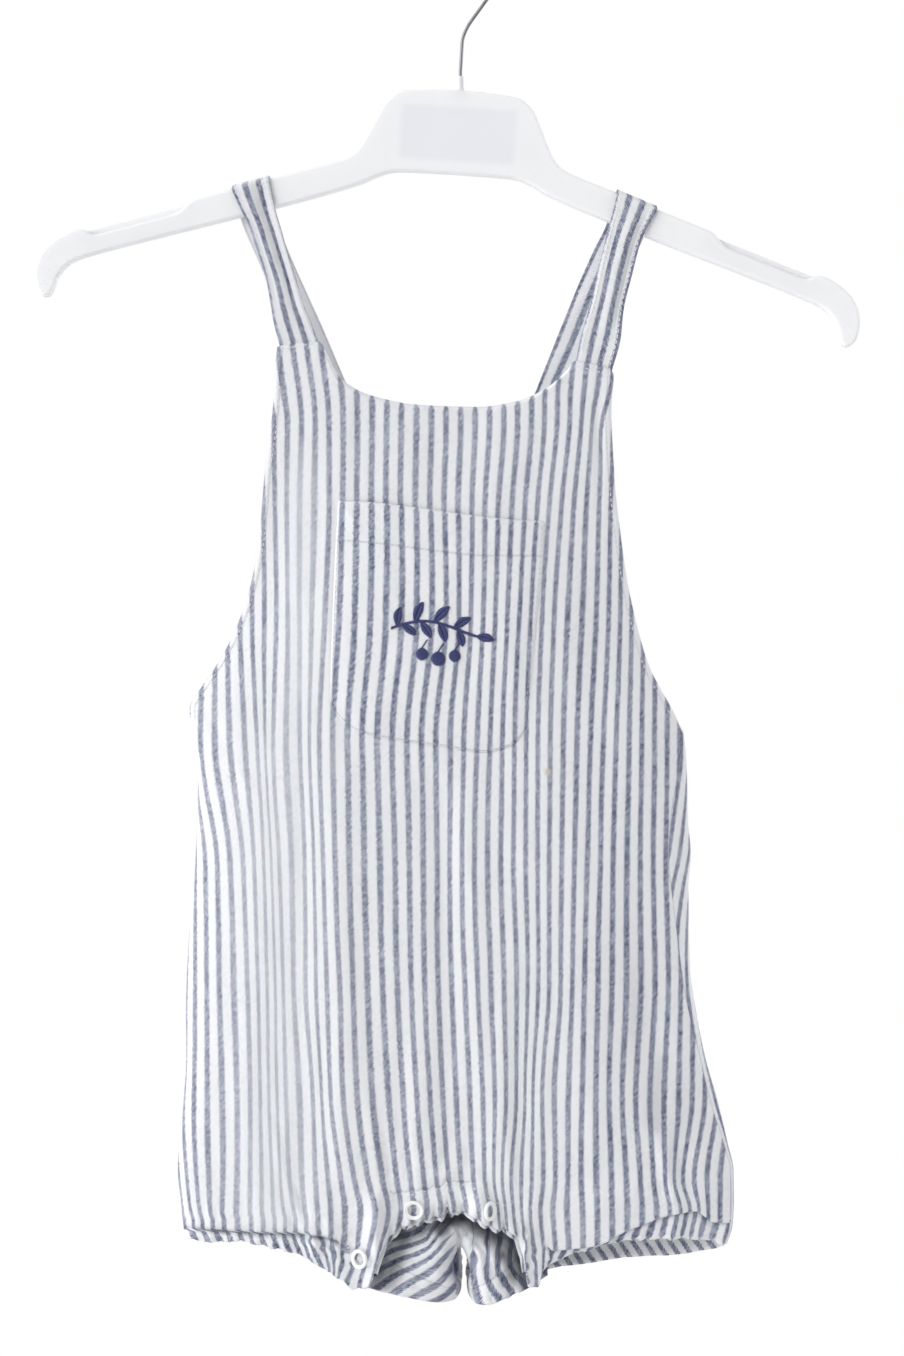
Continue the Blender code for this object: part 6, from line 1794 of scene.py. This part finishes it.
def hanger():
    right = [hanger_point(p.x, p.z) for p in HANGER_TOP + HANGER_UNDER]
    left = [hanger_point(-p.x, p.z) for p in reversed(HANGER_TOP[1:] + HANGER_UNDER[:-1])]
    outline = rounded(right + left)
    points, faces = slab(outline, HANGER_THICK / 2, HANGER_ROUND)
    for side in (-1, 1):
        (xa, za), (xb, zb) = WEB_SPAN
        corners = [(xa, za), (xb, zb), (xb, zb - 9.0), (xa, za - 9.0)]
        if side < 0:
            corners = [(-x, z) for x, z in reversed(corners)]
        ring = []
        for (x0, z0), (x1, z1) in zip(corners, corners[1:] + corners[:1]):
            for s in np.linspace(0, 1, 14, endpoint=False):
                ring.append(hanger_point(x0 + (x1 - x0) * s, z0 + (z1 - z0) * s))
        more, extra = slab(np.array(ring), HANGER_WEB / 2, 0.35, steps=3)
        base = len(points)
        points += more
        faces += [tuple(i + base for i in f) for f in extra]
    # the sleeve that holds the wire, turned about the stem
    profile = [(BORE_R, -6.0), (BORE_R, SLEEVE_RISE - 0.25), (BORE_R + 0.12, SLEEVE_RISE), (SLEEVE_R - 0.22, SLEEVE_RISE),
               (SLEEVE_R - 0.1, SLEEVE_RISE - 0.2), (SLEEVE_R, 3.0), (SLEEVE_R + 0.12, 1.2), (SLEEVE_R + 0.5, 0.35),
               (SLEEVE_R + 1.2, -0.2), (SLEEVE_R + 1.4, -0.9), (SLEEVE_R, -6.0)]
    base, sides, m = len(points), 32, len(profile)
    for k in range(sides):
        a = 2 * math.pi * k / sides
        for r, h in profile:
            points.append((STEM[0] + r * math.cos(a), r * math.sin(a), STEM[1] + h))
    for k in range(sides):
        q = (k + 1) % sides
        for i in range(m):
            j = (i + 1) % m
            faces.append((base + k * m + i, base + q * m + i, base + q * m + j, base + k * m + j))
    obj = mesh_object("hanger_moulding", points, faces, PLASTIC)
    bm = bmesh.new()
    bm.from_mesh(obj.data)
    bmesh.ops.recalc_face_normals(bm, faces=bm.faces)
    bm.to_mesh(obj.data)
    bm.free()
    obj.data.shade_smooth()
    obj.data.set_sharp_from_angle(angle=math.radians(50))
    return obj


hanger_obj = hanger()


def hook():
    lean = math.radians(HOOK_LEAN)
    centre = np.array([0.0, -HOOK_R + WIRE_R])
    touch = centre + HOOK_R * np.array([math.cos(lean), -math.sin(lean)])
    along = np.array([math.sin(lean), math.cos(lean)])
    bend_x = -2.7
    bend = touch - along * ((touch[0] - bend_x) / along[0])
    foot = np.array([STEM[0], STEM[1] - BORE_DEPTH + 1.0])
    upright = np.array([STEM[0], STEM[1] + SLEEVE_RISE + 2.0])
    lower, upper = upright + (bend - upright) * 0.72, bend + (touch - bend) * 0.22
    points = [foot, upright]
    for s in np.linspace(0, 1, 6)[1:]:
        points.append(upright + (lower - upright) * s)
    for s in np.linspace(0, 1, 16)[1:]:
        points.append((1 - s) ** 2 * lower + 2 * s * (1 - s) * bend + s * s * upper)
    for s in np.linspace(0, 1, 5)[1:-1]:
        points.append(upper + (touch - upper) * s)
    for s in np.linspace(0, 1, 91):
        a = -lean + math.radians(HOOK_OPEN_TO + HOOK_LEAN) * s
        points.append(centre + HOOK_R * np.array([math.cos(a), math.sin(a)]))
    path = np.array(points)
    step = np.linalg.norm(np.diff(path, axis=0), axis=1)
    path = path[np.append(True, step > 1e-4)]
    d = np.gradient(path, axis=0)
    d /= np.linalg.norm(d, axis=1)[:, None]
    sides = 18
    verts, faces = [], []
    rows = [(path[0], d[0], 0.85)] + [(p, t, 1.0) for p, t in zip(path, d)]
    for r in (0.96, 0.8, 0.5):
        rows.append((path[-1] + d[-1] * WIRE_R * math.sqrt(1 - r * r) * 0.8, d[-1], r))
    for (x, z), (tx, tz), r in rows:
        for k in range(sides):
            a = 2 * math.pi * k / sides
            side = WIRE_R * r * math.cos(a)
            verts.append((x - tz * side, WIRE_R * r * math.sin(a), z + tx * side))
    for i in range(len(rows) - 1):
        for k in range(sides):
            q = (k + 1) % sides
            faces.append((i * sides + k, i * sides + q, (i + 1) * sides + q, (i + 1) * sides + k))
    faces.append(tuple(reversed(range(sides))))
    faces.append(tuple((len(rows) - 1) * sides + k for k in range(sides)))
    obj = mesh_object("hook_wire", verts, faces, STEEL)
    bm = bmesh.new()
    bm.from_mesh(obj.data)
    bmesh.ops.recalc_face_normals(bm, faces=bm.faces)
    bm.to_mesh(obj.data)
    bm.free()
    return obj


hook_obj = hook()

replaced = (
    (front_cloth, "front_panel", "cloth"), (back_cloth, "back_panel", "cloth"),
    (facing_cloth, "snap_facing", "cloth"), (pocket_cloth, "pocket", "cloth"),
    (strap_l, "strap_left", "cloth"), (strap_r, "strap_right", "cloth"),
    (rings[0], "snap_ring_1", "snap"), (rings[1], "snap_ring_2", "snap"), (rings[2], "snap_ring_3", "snap"),
    (hanger_obj, "hanger", "plastic"), (hook_obj, "hanger_hook", "steel"),
)
for piece, node, look in replaced:
    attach(piece, "root")
    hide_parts(node)
for piece in (stitching, pocket_stitching, sprig):
    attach(piece, "root")

# ---------------------------------------------------------------- set, light and camera
bm = bmesh.new()
bmesh.ops.create_circle(bm, cap_ends=True, segments=96, radius=1.15)
data = bpy.data.meshes.new("studio_floor")
bm.to_mesh(data)
bm.free()
data.materials.append(floor_look())
floor = bpy.data.objects.new("studio_floor", data)
floor.location = (0, -0.22, -0.86)
bpy.context.scene.collection.objects.link(floor)

world = bpy.data.worlds.new("studio")
world.use_nodes = True
tree = world.node_tree
tree.nodes.clear()
out = tree.nodes.new("ShaderNodeOutputWorld")
seen, lit, pick, path = (tree.nodes.new(k) for k in ("ShaderNodeBackground", "ShaderNodeBackground", "ShaderNodeMixShader", "ShaderNodeLightPath"))
seen.inputs[0].default_value = (1, 1, 1, 1)
seen.inputs[1].default_value = 1.0
lit.inputs[0].default_value = (0.98, 0.99, 1.0, 1)
aim = tree.nodes.new("ShaderNodeTexCoord")
parts = tree.nodes.new("ShaderNodeSeparateXYZ")
behind, below, both = (tree.nodes.new(k) for k in ("ShaderNodeMapRange", "ShaderNodeMapRange", "ShaderNodeMath"))
tree.links.new(aim.outputs["Generated"], parts.inputs[0])
for node, source, numbers in ((behind, 1, (-0.1, 0.7, 0.48, 0.80)), (below, 2, (-0.2, -0.8, 0.0, 0.45))):
    node.interpolation_type = "SMOOTHSTEP"
    tree.links.new(parts.outputs[source], node.inputs[0])
    for k, value in enumerate(numbers):
        node.inputs[k + 1].default_value = value
both.operation = "ADD"
tree.links.new(behind.outputs[0], both.inputs[0])
tree.links.new(below.outputs[0], both.inputs[1])
tree.links.new(both.outputs[0], lit.inputs[1])
tree.links.new(path.outputs["Is Camera Ray"], pick.inputs[0])
tree.links.new(lit.outputs[0], pick.inputs[1])
tree.links.new(seen.outputs[0], pick.inputs[2])
tree.links.new(pick.outputs[0], out.inputs[0])
bpy.context.scene.world = world
bpy.context.scene.view_settings.view_transform = "Standard"
bpy.context.scene.view_settings.look = "None"


def sun(name, towards, strength, angle, colour=(1, 1, 1)):
    data = bpy.data.lights.new(name, "SUN")
    data.energy = strength
    data.angle = math.radians(angle)
    data.color = colour
    obj = bpy.data.objects.new(name, data)
    obj.rotation_euler = Vector(towards).normalized().to_track_quat("Z", "Y").to_euler()
    bpy.context.scene.collection.objects.link(obj)
    return obj


sun("key", (-0.90, -0.43, 0.24), 2.60, 70)
sun("fill", (0.92, 0.02, 0.34), 1.10, 60)

camera_data = bpy.data.cameras.new("camera")
camera_data.lens = 85
camera_data.sensor_width = 36
camera_data.clip_start, camera_data.clip_end = 0.05, 20
camera = bpy.data.objects.new("camera", camera_data)
camera.location = tuple(c * MM for c in EYE)
camera.rotation_euler = (math.radians(90), 0, 0)
bpy.context.scene.collection.objects.link(camera)
bpy.context.scene.camera = camera
